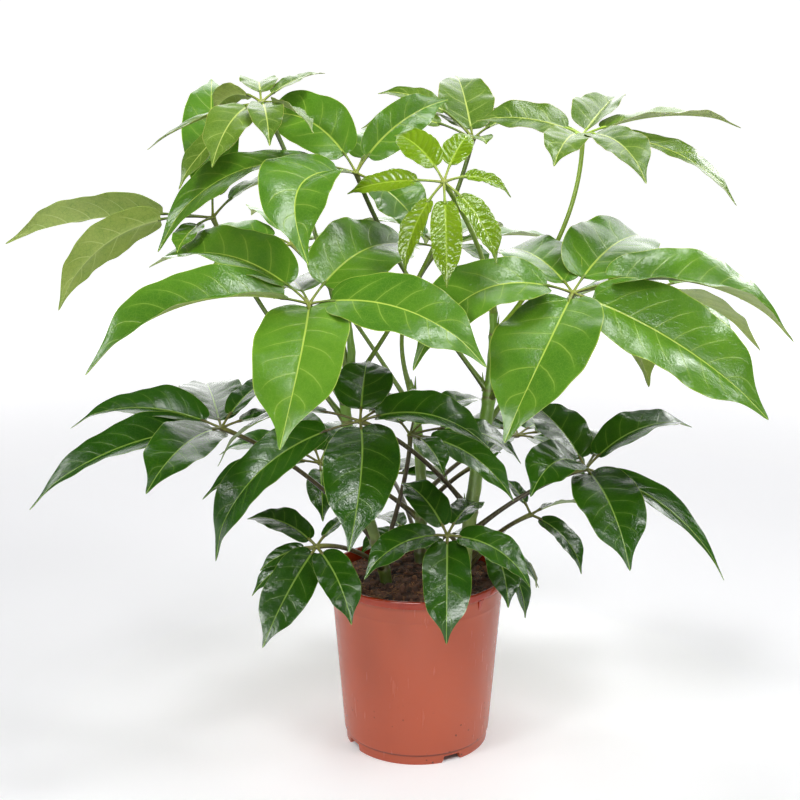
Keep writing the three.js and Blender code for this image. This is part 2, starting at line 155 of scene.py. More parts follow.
def split(tree, vector):
    node = add(tree, "ShaderNodeSeparateXYZ", {0: vector})
    return node.outputs[0], node.outputs[1], node.outputs[2]


def new_effect(name, inputs, outputs):
    """An empty shader node group with named inputs and outputs."""
    tree = bpy.data.node_groups.new(name, "ShaderNodeTree")
    for label, kind, value in inputs:
        socket = tree.interface.new_socket(name=label, in_out="INPUT", socket_type=f"NodeSocket{kind}")
        if value is not None:
            socket.default_value = value
    for label, kind in outputs:
        tree.interface.new_socket(name=label, in_out="OUTPUT", socket_type=f"NodeSocket{kind}")
    return tree, tree.nodes.new("NodeGroupInput").outputs, tree.nodes.new("NodeGroupOutput").inputs


def place(tree, effect, sockets):
    """Puts an effect in a material with its own values, and gives its outputs."""
    return add(tree, "ShaderNodeGroup", sockets, node_tree=effect).outputs


def uv(tree, name):
    """What one of the piece's UV maps says at a point."""
    return add(tree, "ShaderNodeUVMap", uv_map=name).outputs[0]


def upright(tree, here, share):
    """Coordinates that change slowly along Z, for marks that run up and down."""
    return add(tree, "ShaderNodeMapping", {"Vector": here, "Scale": (1.0, 1.0, share)}).outputs[0]


def new_material(name):
    """A material with its node tree, its Principled shader and object coordinates."""
    material = bpy.data.materials.new(name)
    material.use_nodes = True
    tree = material.node_tree
    here = add(tree, "ShaderNodeTexCoord").outputs["Object"]
    return material, tree, tree.nodes["Principled BSDF"].inputs, here


def dress(material, colour, roughness, normal=None):
    """Gives a material's shader what every finish sets, as nodes or as plain values."""
    tree = material.node_tree
    shader = tree.nodes["Principled BSDF"].inputs
    for name, value in (("Base Color", colour), ("Roughness", roughness), ("Normal", normal)):
        wire(tree, shader[name], value)
    return material


def raised(tree, height, distance, under=None):
    """A bump of `distance` metres where height is 1, on top of another bump's normal."""
    return add(tree, "ShaderNodeBump", {"Height": height, "Distance": distance, "Normal": under}).outputs[0]


# %% [markdown]
# ## Light
# The plant stands in a bright white studio.  The world is seen as plain white, but it lights the plant
# only a third as strongly, and reflections see still less of it, so the leaves keep their depth of
# colour.  Waxy leaves show where a studio's lamps and walls are, by crisp white patches, so the seven
# lamps that give these patches are kept apart from the three that only give even light.

# %% Light
WORLD_SEEN = 1.06
WORLD_LIGHT = 0.37
WORLD_MIRRORED = 0.12
LAMPS_AIM_AT = Vector((0, 0, 0.5))
# Each lamp: its name, place and size in metres, and watts
EVEN_LAMPS = (("overhead", (0.1, 0.2, 2.6), (0.6, 0.7), 26),
              ("front right", (1.3, -1.1, 2.4), (0.9, 1.0), 30),
              ("front left", (-1.6, -1.5, 1.95), (0.6, 0.9), 22))
MIRRORED_LAMPS = (("top right", (0.75, 0.03, 2.36), (0.5, 0.5), 11),
                  ("window right", (1.92, -0.9, 1.63), (0.6, 0.7), 15),
                  ("side right", (1.74, 0.8, 1.88), (0.7, 0.6), 22),
                  ("high front", (0.6, -0.9, 2.05), (0.3, 0.5), 9),
                  ("window left", (-1.76, -1.14, 1.55), (0.45, 0.8), 21),
                  ("beside the camera", (-0.5, -2.1, 0.98), (2.3, 0.5), 56),
                  ("wall behind", (0.3, 2.6, 1.5), (5.0, 3.0), 112))


def softbox(name, place, size, watts, mirrored):
    """A rectangular lamp aimed at the plant, seen either by even light or by reflections."""
    lamp = bpy.data.objects.new(name, bpy.data.lights.new(name, "AREA"))
    lamp.data.shape = "RECTANGLE"
    lamp.data.size, lamp.data.size_y = size
    lamp.data.energy = watts
    lamp.visible_diffuse, lamp.visible_glossy, lamp.visible_camera = not mirrored, mirrored, False
    lamp.location = place
    lamp.rotation_euler = (LAMPS_AIM_AT - Vector(place)).to_track_quat("-Z", "Y").to_euler()
    bpy.context.scene.collection.objects.link(lamp)


def make_world():
    """A white world whose strength depends on what kind of ray sees it."""
    world = bpy.data.worlds.new("studio")
    world.use_nodes = True
    tree = world.node_tree
    ray = add(tree, "ShaderNodeLightPath").outputs
    strength = WORLD_LIGHT
    for kind, seen in (("Is Camera Ray", WORLD_SEEN), ("Is Glossy Ray", WORLD_MIRRORED)):
        strength = add(tree, "ShaderNodeMapRange", {"Value": ray[kind], "To Min": strength,
                                                    "To Max": seen}).outputs[0]
    background = tree.nodes["Background"].inputs
    wire(tree, background["Color"], (1.0, 1.0, 1.0, 1.0))
    wire(tree, background["Strength"], strength)
    return world


for lamp in EVEN_LAMPS:
    softbox(*lamp, mirrored=False)
for lamp in MIRRORED_LAMPS:
    softbox(*lamp, mirrored=True)
bpy.context.scene.world = make_world()
bpy.context.scene.view_settings.view_transform = "Standard"

# %% [markdown]
# ## Effects that several finishes share
# Nothing on a living plant has one flat colour, so most finishes use `blotches`, a soft uneven mask,
# and `grain`, the fine unevenness that breaks up a reflection.  `specks` scatters small marks, such as
# pores in the bark and crumbs of soil on the pot.

# %% Shared effects
blotches, given, out = new_effect(
    "blotches",
    [("Vector", "Vector", None), ("Scale", "Float", 20.0), ("Low", "Float", 0.35), ("High", "Float", 0.65)],
    [("Mask", "Float")])
cloud = add(blotches, "ShaderNodeTexNoise", {"Vector": given["Vector"], "Scale": given["Scale"],
                                             "Detail": 4.0, "Roughness": 0.55})
wire(blotches, out["Mask"], ramp(blotches, cloud.outputs[0], given["Low"], given["High"]))

grain, given, out = new_effect(
    "grain", [("Vector", "Vector", None), ("Scale", "Float", 400.0)], [("Height", "Float")])
fine = add(grain, "ShaderNodeTexNoise", {"Vector": given["Vector"], "Scale": given["Scale"], "Detail": 3.0})
wire(grain, out["Height"], fine.outputs[0])

specks, given, out = new_effect(
    "specks",
    [("Vector", "Vector", None), ("Scale", "Float", 120.0), ("Size", "Float", 0.12),
     ("Share", "Float", 0.3)],
    [("Mask", "Float")])
cells = add(specks, "ShaderNodeTexVoronoi", {"Vector": given["Vector"], "Scale": given["Scale"]})
chosen = calc(specks, "LESS_THAN", split(specks, cells.outputs["Color"])[0], given["Share"])
dot = ramp(specks, cells.outputs["Distance"], given["Size"], times(specks, given["Size"], 0.5))
wire(specks, out["Mask"], times(specks, chosen, dot))


def patches(tree, here, scale, low=0.35, high=0.65):
    return place(tree, blotches, {"Vector": here, "Scale": scale, "Low": low, "High": high})["Mask"]


def roughen(tree, here, scale):
    return place(tree, grain, {"Vector": here, "Scale": scale})["Height"]


def dots(tree, here, scale, size, share):
    return place(tree, specks, {"Vector": here, "Scale": scale, "Size": size, "Share": share})["Mask"]


print("effects:", [g.name for g in (blotches, grain, specks)])

# %% [markdown]
# ## Floor
# A wide plain disc.  It glows a little near the pot and strongly far away, as the lit paper of a studio
# does, until it meets the world, so no horizon shows.  It doesn't glow under the pot, so that the drain
# notches stay dark.

# %% Floor
FLOOR_RADIUS = 60
# Each glow: the two distances between which it changes, and its strength at them
NEAR_GLOW = (0.34, 0.62, 0.27, 0.08)
FAR_GLOW = (1.1, 3.6, 0.0, 0.66)
# Both glows start at the foot of the pot
GLOW_STARTS = (0.088, 0.096)


def make_floor():
    material, tree, shader, here = new_material("floor_paint")
    away = add(tree, "ShaderNodeVectorMath", {0: here, 1: POT_AXIS * MM}, operation="DISTANCE")
    away = away.outputs["Value"]
    glow = calc(tree, "ADD", ramp(tree, away, *NEAR_GLOW), ramp(tree, away, *FAR_GLOW))
    wire(tree, shader["Emission Color"], (1.0, 1.0, 1.0, 1.0))
    wire(tree, shader["Emission Strength"], times(tree, glow, ramp(tree, away, *GLOW_STARTS)))
    bpy.ops.mesh.primitive_circle_add(vertices=96, radius=FLOOR_RADIUS, fill_type="NGON")
    floor = bpy.context.object
    floor.name = "floor"
    floor.data.materials.append(dress(material, (0.845, 0.845, 0.87, 1.0), 0.8))
    return floor


print("floor radius:", round(make_floor().dimensions.x / 2), "m")

# %% [markdown]
# ## Mesh tools
# Every piece is built from numpy arrays of points and faces.  `Shape` collects them, with one or two
# UV maps that carry measures of the surface to the shader, such as the distance from a midrib.

# %% Shape
class Shape:
    """Points, faces and per-point UV maps that together become one piece."""

    def __init__(self, *maps):
        self.points, self.faces, self.marks, self.count = [], [], [], 0
        self.maps = {name: [] for name in maps}

    def add(self, points, faces, mark=0, **maps):
        self.points.append(np.asarray(points, float))
        self.faces.extend(tuple(int(i) + self.count for i in face) for face in faces)
        self.marks.extend(mark if isinstance(mark, list) else [mark] * len(faces))
        for name, values in maps.items():
            self.maps[name].append(np.asarray(values, float))
        self.count += len(points)

    def piece(self, name, materials, node, slot, sharp_deg=50):
        """The finished object: smooth, with sharp edges kept, riding on the root in place of a node."""
        mesh = bpy.data.meshes.new(name)
        mesh.from_pydata(to_frame(np.concatenate(self.points)).tolist(), [], self.faces)
        corners = np.zeros(len(mesh.loops), int)
        mesh.loops.foreach_get("vertex_index", corners)
        for label, values in self.maps.items():
            layer = mesh.uv_layers.new(name=label)
            layer.uv.foreach_set("vector", np.concatenate(values)[corners].ravel())
        for material in materials:
            mesh.materials.append(material)
        mesh.polygons.foreach_set("material_index", self.marks)
        mesh.shade_smooth()
        mesh.set_sharp_from_angle(angle=math.radians(sharp_deg))
        obj = bpy.data.objects.new(name, mesh)
        bpy.context.scene.collection.objects.link(obj)
        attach(obj, "root")
        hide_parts(node)
        return obj


def ring_faces(rings, sides):
    """Quads between rings of points that follow each other, facing out when the rings turn to the left."""
    return [(r * sides + k, r * sides + (k + 1) % sides, (r + 1) * sides + (k + 1) % sides,
             (r + 1) * sides + k) for r in range(rings - 1) for k in range(sides)]


def measures(count, first, second):
    """A UV map for `count` points from two measures, each one number or a number for each point."""
    return np.stack([np.broadcast_to(x, count) for x in (first, second)], 1)


# %% [markdown]
# A stem or stalk is a tube along a path.  Each ring is turned from the last one by as little as
# possible, so the tube doesn't twist.  Both ends are closed with a small fan.

# %% Tube
def tube(path, radii, sides):
    """Points and faces of a round tube along a path."""
    path = np.asarray(path, float)
    heading = np.gradient(path, axis=0)
    heading /= np.linalg.norm(heading, axis=1)[:, None]
    side = np.cross(heading[0], [0.31, 0.95, 0.07])
    angles = np.arange(sides) * 2 * math.pi / sides
    rings = []
    for centre, ahead, radius in zip(path, heading, np.broadcast_to(radii, len(path))):
        side = side - ahead * np.dot(side, ahead)
        side /= np.linalg.norm(side)
        up = np.cross(ahead, side)
        rings.append(centre + radius * (np.cos(angles)[:, None] * side + np.sin(angles)[:, None] * up))
    points = np.concatenate(rings + [path[:1], path[-1:]])
    last = (len(path) - 1) * sides
    caps = [(len(points) - 2, (k + 1) % sides, k) for k in range(sides)]
    caps += [(len(points) - 1, last + k, last + (k + 1) % sides) for k in range(sides)]
    return points, ring_faces(len(path), sides) + caps


def per_point(rings, sides):
    """A value for each ring of a tube, given to all the tube's points."""
    return np.append(np.repeat(rings, sides), [rings[0], rings[-1]])


# %% [markdown]
# ## Pot
# A moulded nursery pot: a thin tapered wall, a rounded bead at the rim, a small step above a foot
# ring, and drain notches in that ring.  Its profile is swept round, and the notches are made by
# lifting the ring's lower points.  Three small ribs under the bead keep stacked pots from jamming.

# %% Pot measures
POT_HEIGHT = 240
RIM_RADIUS = 120
FOOT_RADIUS = 97
FOOT_HEIGHT = 14.5
BODY_FOOT_RADIUS = 99.5
STEP_RADIUS = 116.5
RIM_FOOT_Z = 229
NOTCHES = 4
NOTCH_FIRST_DEG = -61.5
NOTCH_WIDTH = 25
NOTCH_HEIGHT = 9
RING_LINE_Z = 207
RING_LINE_RISE = 0.25
WALL_HEIGHTS = (18, 40, 65, 90, 115, 140, 165, 188, 203, 206, RING_LINE_Z, 208, 213, 220, 227)
POT_SEGMENTS = 384
RIB_TURNS_DEG = (-46, 74, 194)
RIB_PROFILE = ((115, 229.2), (119.6, 229.2), (115, 213))
RIB_HALF_WIDTHS = (4.4, 4.4, 0.9)


def wall_radius(z):
    """The tapered wall's radius at a height, with a fine line raised round it."""
    widening = (STEP_RADIUS - BODY_FOOT_RADIUS) * (z - FOOT_HEIGHT) / (RIM_FOOT_Z - FOOT_HEIGHT)
    return BODY_FOOT_RADIUS + widening + (RING_LINE_RISE if z == RING_LINE_Z else 0)


# Radius and height of each point, from the middle below, round the foot ring and the rim, to the
# middle inside
pot_profile = [
    (0.5, FOOT_HEIGHT - 2), (60, FOOT_HEIGHT - 2), (90, FOOT_HEIGHT - 2), (91, FOOT_HEIGHT - 3), (91, 6),
    (91, 0.8), (91.6, 0.1), (92.4, 0), (95.6, 0), (96.5, 0.2), (FOOT_RADIUS, 1), (FOOT_RADIUS, 6),
    (FOOT_RADIUS, 10), (FOOT_RADIUS, FOOT_HEIGHT - 0.8), (97.4, FOOT_HEIGHT), (98.8, FOOT_HEIGHT + 0.1),
    (BODY_FOOT_RADIUS, FOOT_HEIGHT + 0.9), *((wall_radius(z), z) for z in WALL_HEIGHTS),
    (STEP_RADIUS, RIM_FOOT_Z - 0.6), (117, RIM_FOOT_Z), (118.7, RIM_FOOT_Z + 0.1),
    (119.6, RIM_FOOT_Z + 0.7), (RIM_RADIUS, RIM_FOOT_Z + 1.8), (RIM_RADIUS, POT_HEIGHT - 2.6),
    (119.7, POT_HEIGHT - 1.2), (118.9, POT_HEIGHT - 0.3), (117.9, POT_HEIGHT), (116.8, POT_HEIGHT - 0.3),
    (115.9, POT_HEIGHT - 1.2), (115.2, POT_HEIGHT - 3), (114.4, POT_HEIGHT - 8), (113.6, 222), (105, 110),
    (97.8, 18.5), (96, 16.5), (60, 16.5), (0.5, 16.5)]
print(len(pot_profile), "profile points")

# %% Pot finish
def pot_finish():
    """Satin terracotta-coloured plastic with faint clouding, rubbed lines and soil crumbs low down."""
    material, tree, _, here = new_material("pot_plastic")
    height = split(tree, here)[2]
    cloudy = add(tree, "ShaderNodeTexNoise", {"Vector": here, "Scale": 9.0, "Detail": 0.0}).outputs[0]
    base = blend(tree, cloudy, "ac4a2c", "c25c3c")
    # Stacking rubs fine vertical lines into the wall
    lines = patches(tree, upright(tree, here, 0.06), 190.0, 0.62, 0.8)
    rubbed = times(tree, lines, patches(tree, here, 14.0))
    base = tint(tree, base, rubbed, 0.07, "d28a70")
    # Painted shade: little light reaches the corner above the foot ring and the one below the rim
    foot_step_shade = times(tree, ramp(tree, height, 0.0108, 0.0134), ramp(tree, height, 0.0156, 0.0146))
    base = tint(tree, base, foot_step_shade, 0.75, "4c2014")
    # Painted shade in the corner under the rim's bead
    under_rim_shade = times(tree, ramp(tree, height, 0.222, 0.2285), ramp(tree, height, 0.2305, 0.2295))
    base = tint(tree, base, under_rim_shade, 0.35, "6e2c1a")
    # Crumbs of soil stick to the lower wall in smears
    smear = times(tree, ramp(tree, height, 0.11, 0.02), patches(tree, here, 17.0, 0.4, 0.5))
    crumbs = times(tree, dots(tree, here, 130.0, 0.24, 0.3), smear)
    skin = raised(tree, roughen(tree, here, 900.0), 0.00004)
    return dress(material, blend(tree, crumbs, base, "5a3020"),
                 calc(tree, "MULTIPLY_ADD", rubbed, 0.04, 0.27), raised(tree, crumbs, 0.0006, skin))


def rim_finish():
    """The bead is polished by handling and redder than the wall."""
    material, tree, _, here = new_material("pot_rim_plastic")
    cloudy = patches(tree, here, 30.0)
    return dress(material, blend(tree, cloudy, "a02c0c", "b23a16"),
                 calc(tree, "MULTIPLY_ADD", cloudy, 0.06, 0.08))


# %% Pot
def add_rib(shape, degrees):
    """Adds a wedge below the rim that keeps stacked pots from jamming."""
    a = math.radians(degrees)
    out, across = np.array([math.cos(a), math.sin(a), 0]), np.array([-math.sin(a), math.cos(a), 0])
    rib = [out * r + across * side * half + np.array([0, 0, z]) for side in (1, -1)
           for (r, z), half in zip(RIB_PROFILE, RIB_HALF_WIDTHS)]
    shape.add(rib, [(0, 2, 1), (3, 4, 5), (0, 1, 4, 3), (1, 2, 5, 4), (2, 0, 3, 5)], 1)


def make_pot():
    turn = np.arange(POT_SEGMENTS) * 2 * math.pi / POT_SEGMENTS
    profile = np.array(pot_profile)
    from_notch = (np.degrees(turn) - NOTCH_FIRST_DEG + 45) % (360 / NOTCHES) - 45
    half_notch = math.degrees(NOTCH_WIDTH / 2 / FOOT_RADIUS)
    lifted = 1 - smoothstep(half_notch - 0.4, half_notch + 0.9, np.abs(from_notch))
    rings = []
    for r, z in profile:
        low = max(0.0, 1 - z / (FOOT_HEIGHT - 3.5)) if 90 < r < FOOT_RADIUS + 0.1 else 0.0
        rings.append(np.stack([r * np.cos(turn), r * np.sin(turn), z + low * NOTCH_HEIGHT * lifted], 1))
    faces = ring_faces(len(rings), POT_SEGMENTS)
    marks = [int(profile[i // POT_SEGMENTS][1] >= RIM_FOOT_Z - 0.6) for i, *_ in faces]
    last = (len(rings) - 1) * POT_SEGMENTS
    faces += [tuple(range(POT_SEGMENTS))[::-1], tuple(last + k for k in range(POT_SEGMENTS))]
    shape = Shape()
    shape.add(np.concatenate(rings), faces, marks + [0, 0])
    for degrees in RIB_TURNS_DEG:
        add_rib(shape, degrees)
    return shape.piece("nursery_pot", [pot_finish(), rim_finish()], "pot", "pot_plastic", 38)


print("pot faces:", len(make_pot().data.polygons))

# %% [markdown]
# ## Soil
# Peat is a heap of crumbs and fibres.  The body is a disc with an uneven surface, heaped a little round
# the stems.  Crumbs of every size lie on it, and so do thin orange-brown fibres, because at this size
# they are what the eye reads as soil.

# %% Soil finish
SOIL_EDGE_Z = 224
SOIL_HEAP = 7
SOIL_TOP_RADIUS = 112.8
SOIL_BOTTOM_RADIUS = 96.5


def soil_finish(name, dark, light, rough):
    """Two browns in patches, with paler flecks and a crumbly relief."""
    material, tree, _, here = new_material(name)
    base = blend(tree, patches(tree, here, 60.0), dark, light)
    base = tint(tree, base, dots(tree, here, 420.0, 0.3, 0.18), 0.5, "8a5a38")
    return dress(material, base, rough, raised(tree, roughen(tree, here, 520.0), 0.0012))


def soil_z(x, y):
    """The height of the soil's surface at a place."""
    r = math.hypot(x, y) / SOIL_TOP_RADIUS
    edge = 1 - r ** 6
    lumps = noise.fractal(Vector((x, y, 0)) / 17, 0.9, 2.1, 5) * 3.4 * edge
    return SOIL_EDGE_Z + SOIL_HEAP * (1 - r * r) + lumps


# %% Soil
SOIL_RINGS = 64
SOIL_SIDES = 144
CRUMBS = 1100
CRUMB_SMALLEST, CRUMB_SPREAD = 0.8, 4.2
BARK_CRUMBS_SHARE = 0.3
CRUMB_BUMPS = np.array([[3.1, 1.7], [2.3, -2.9], [-1.9, 2.6]])
FIBRES = 240
FIBRE_POINTS = 6
FIBRE_LENGTHS = (6, 24)


def crumb_model():
    """A small faceted ball as arrays, to be squeezed and turned into each crumb."""
    bpy.ops.mesh.primitive_ico_sphere_add(subdivisions=2, radius=1)
    ball = bpy.context.object
    points = np.array([v.co[:] for v in ball.data.vertices])
    faces = [tuple(p.vertices) for p in ball.data.polygons]
    bpy.data.objects.remove(ball)
    return points, faces


def soil_body():
    """Points and faces of the peat itself, with its uneven top."""
    rings = []
    turn = np.arange(SOIL_SIDES) * -2 * math.pi / SOIL_SIDES
    for radius in np.linspace(0.4, SOIL_TOP_RADIUS, SOIL_RINGS):
        x, y = radius * np.cos(turn), radius * np.sin(turn)
        rings.append(np.stack([x, y, [soil_z(a, b) for a, b in zip(x, y)]], 1))
    rings.append(rings[-1] * [1, 1, 0] + [0, 0, SOIL_EDGE_Z - 8])
    share = SOIL_BOTTOM_RADIUS / SOIL_TOP_RADIUS
    rings.append(rings[-1] * [share, share, 0] + [0, 0, FOOT_HEIGHT + 3])
    last = (len(rings) - 1) * SOIL_SIDES
    ends = [tuple(range(SOIL_SIDES))[::-1], tuple(last + k for k in range(SOIL_SIDES))]
    return np.concatenate(rings), ring_faces(len(rings), SOIL_SIDES) + ends


def make_soil():
    chance = random.Random(7)
    shape = Shape()
    shape.add(*soil_body())
    ball, ball_faces = crumb_model()
    for i in range(CRUMBS):
        r, a = SOIL_TOP_RADIUS * 0.97 * math.sqrt(chance.random()), chance.uniform(0, 2 * math.pi)
        size = CRUMB_SMALLEST + CRUMB_SPREAD * chance.random() ** 2.6
        stretch = [chance.uniform(0.6, 1.3) for _ in range(3)]
        bumpy = 1 + 0.25 * np.sin(ball @ CRUMB_BUMPS + i).sum(1)[:, None] / 2
        x, y = r * math.cos(a), r * math.sin(a)
        middle = [x, y, soil_z(x, y) + size * 0.25]
        mark = 1 if chance.random() < BARK_CRUMBS_SHARE else 0
        shape.add(ball * bumpy * stretch * size + middle, ball_faces, mark)
    for _ in range(FIBRES):
        r, a = SOIL_TOP_RADIUS * 0.93 * math.sqrt(chance.random()), chance.uniform(0, 2 * math.pi)
        place_on = np.array([r * math.cos(a), r * math.sin(a)])
        turn, length = chance.uniform(0, 2 * math.pi), chance.uniform(*FIBRE_LENGTHS)
        path = []
        for _ in range(FIBRE_POINTS):
            turn += chance.uniform(-0.5, 0.5)
            place_on = place_on + length / (FIBRE_POINTS - 1) * np.array([math.cos(turn), math.sin(turn)])
            place_on *= min(1, SOIL_TOP_RADIUS * 0.97 / np.linalg.norm(place_on))
            path.append([*place_on, soil_z(*place_on) + chance.uniform(0.2, 2.4)])
        radii = np.linspace(0.5, 0.2, FIBRE_POINTS) * chance.uniform(0.7, 1.3)
        shape.add(*tube(path, radii, 5), 2)
    finishes = [soil_finish("soil_peat", "43281b", "7c4f38", 0.95),
                soil_finish("soil_bark_crumbs", "7c4c32", "a06a48", 0.9),
                soil_finish("soil_fibre", "96643c", "b98656", 0.8)]
    return shape.piece("soil_surface", finishes, "soil", "potting_soil", 60)


print("soil faces:", len(make_soil().data.polygons))

# %% [markdown]
# ## Stems
# Each stem is a woody green rod that swells where a leaf was or is attached, with a thin brown scar
# round it there.  Its path is the same smooth curve through the same points as in the part's source.

# %% Stem measures
STEMS = {
    "stem_right": [[52, -42, 132, 9.5], [58, -42, 230, 9.5], [69, -34, 324, 9], [78, -26, 388, 9],
                   [92, -10, 470, 8.5], [98, 0, 550, 6], [98, 8, 600, 4.5]],
    "stem_left": [[-38, -26, 132, 8], [-42, -26, 235, 8], [-66, -32, 330, 7.5], [-88, -38, 430, 7],
                  [-93, -40, 500, 6.5], [-85, -40, 540, 5.5], [-89, -42, 592, 4]],
    "stem_back": [[5, 48, 132, 8], [5, 50, 230, 8], [6, 75, 340, 7.5], [0, 95, 420, 6.5],
                  [-6, 105, 465, 4.5]],
}


def smooth_curve(points, share):
    """A point of the centripetal curve through points, at a share of its way counted in spans."""
    points = np.asarray(points, float)
    place_on = share * (len(points) - 1)
    i = min(int(place_on), len(points) - 2)
    w = place_on - i
    first = points[i - 1] if i else 2 * points[0] - points[1]
    last = points[i + 2] if i + 2 < len(points) else 2 * points[-1] - points[-2]
    a, b, c, d = first, points[i], points[i + 1], last
    t0, t1, t2 = (math.sqrt(np.linalg.norm(q[:3] - p[:3])) for p, q in ((a, b), (b, c), (c, d)))
    start = ((b - a) / t0 - (c - a) / (t0 + t1) + (c - b) / t1) * t1
    end = ((c - b) / t1 - (d - b) / (t1 + t2) + (d - c) / t2) * t1
    square, cube = -3 * b + 3 * c - 2 * start - end, 2 * b - 2 * c + start + end
    return b + start * w + square * w ** 2 + cube * w ** 3


def stem_point(name, z):
    """The point of a stem's curve at a height."""
    low, high = 0.0, 1.0
    for _ in range(30):
        middle = (low + high) / 2
        low, high = (middle, high) if smooth_curve(STEMS[name], middle)[2] < z else (low, middle)
    return smooth_curve(STEMS[name], low)[:3]


print("node of the young leaf:", stem_point("stem_right", 590).round(1))

# %% [markdown]
# ## Leaves
# The table is the part's own: which stem carries the leaf's stalk and at what height, where the hub is,
# how far the stalk bows, and then a row for each leaflet.  A row says how the leaflet turns and tilts,
# its reach and width, how it arches and rolls, and how long its own stalk is.  Some leaflets also fold
# like a V, sweep sideways, twist or taper.

# %% Leaf table
def leaf_on(stem, height, hub, bow, leaflets, kind="upper", skin=None, stalk=None):
    """One leaf; its blades' skin and its stalks' finish are those of its kind unless they are given."""
    return {"root": (stem, height), "hub": hub, "bow": bow, "leaflets": leaflets, "kind": kind,
            "skin": skin or kind, "stalk": stalk or kind}


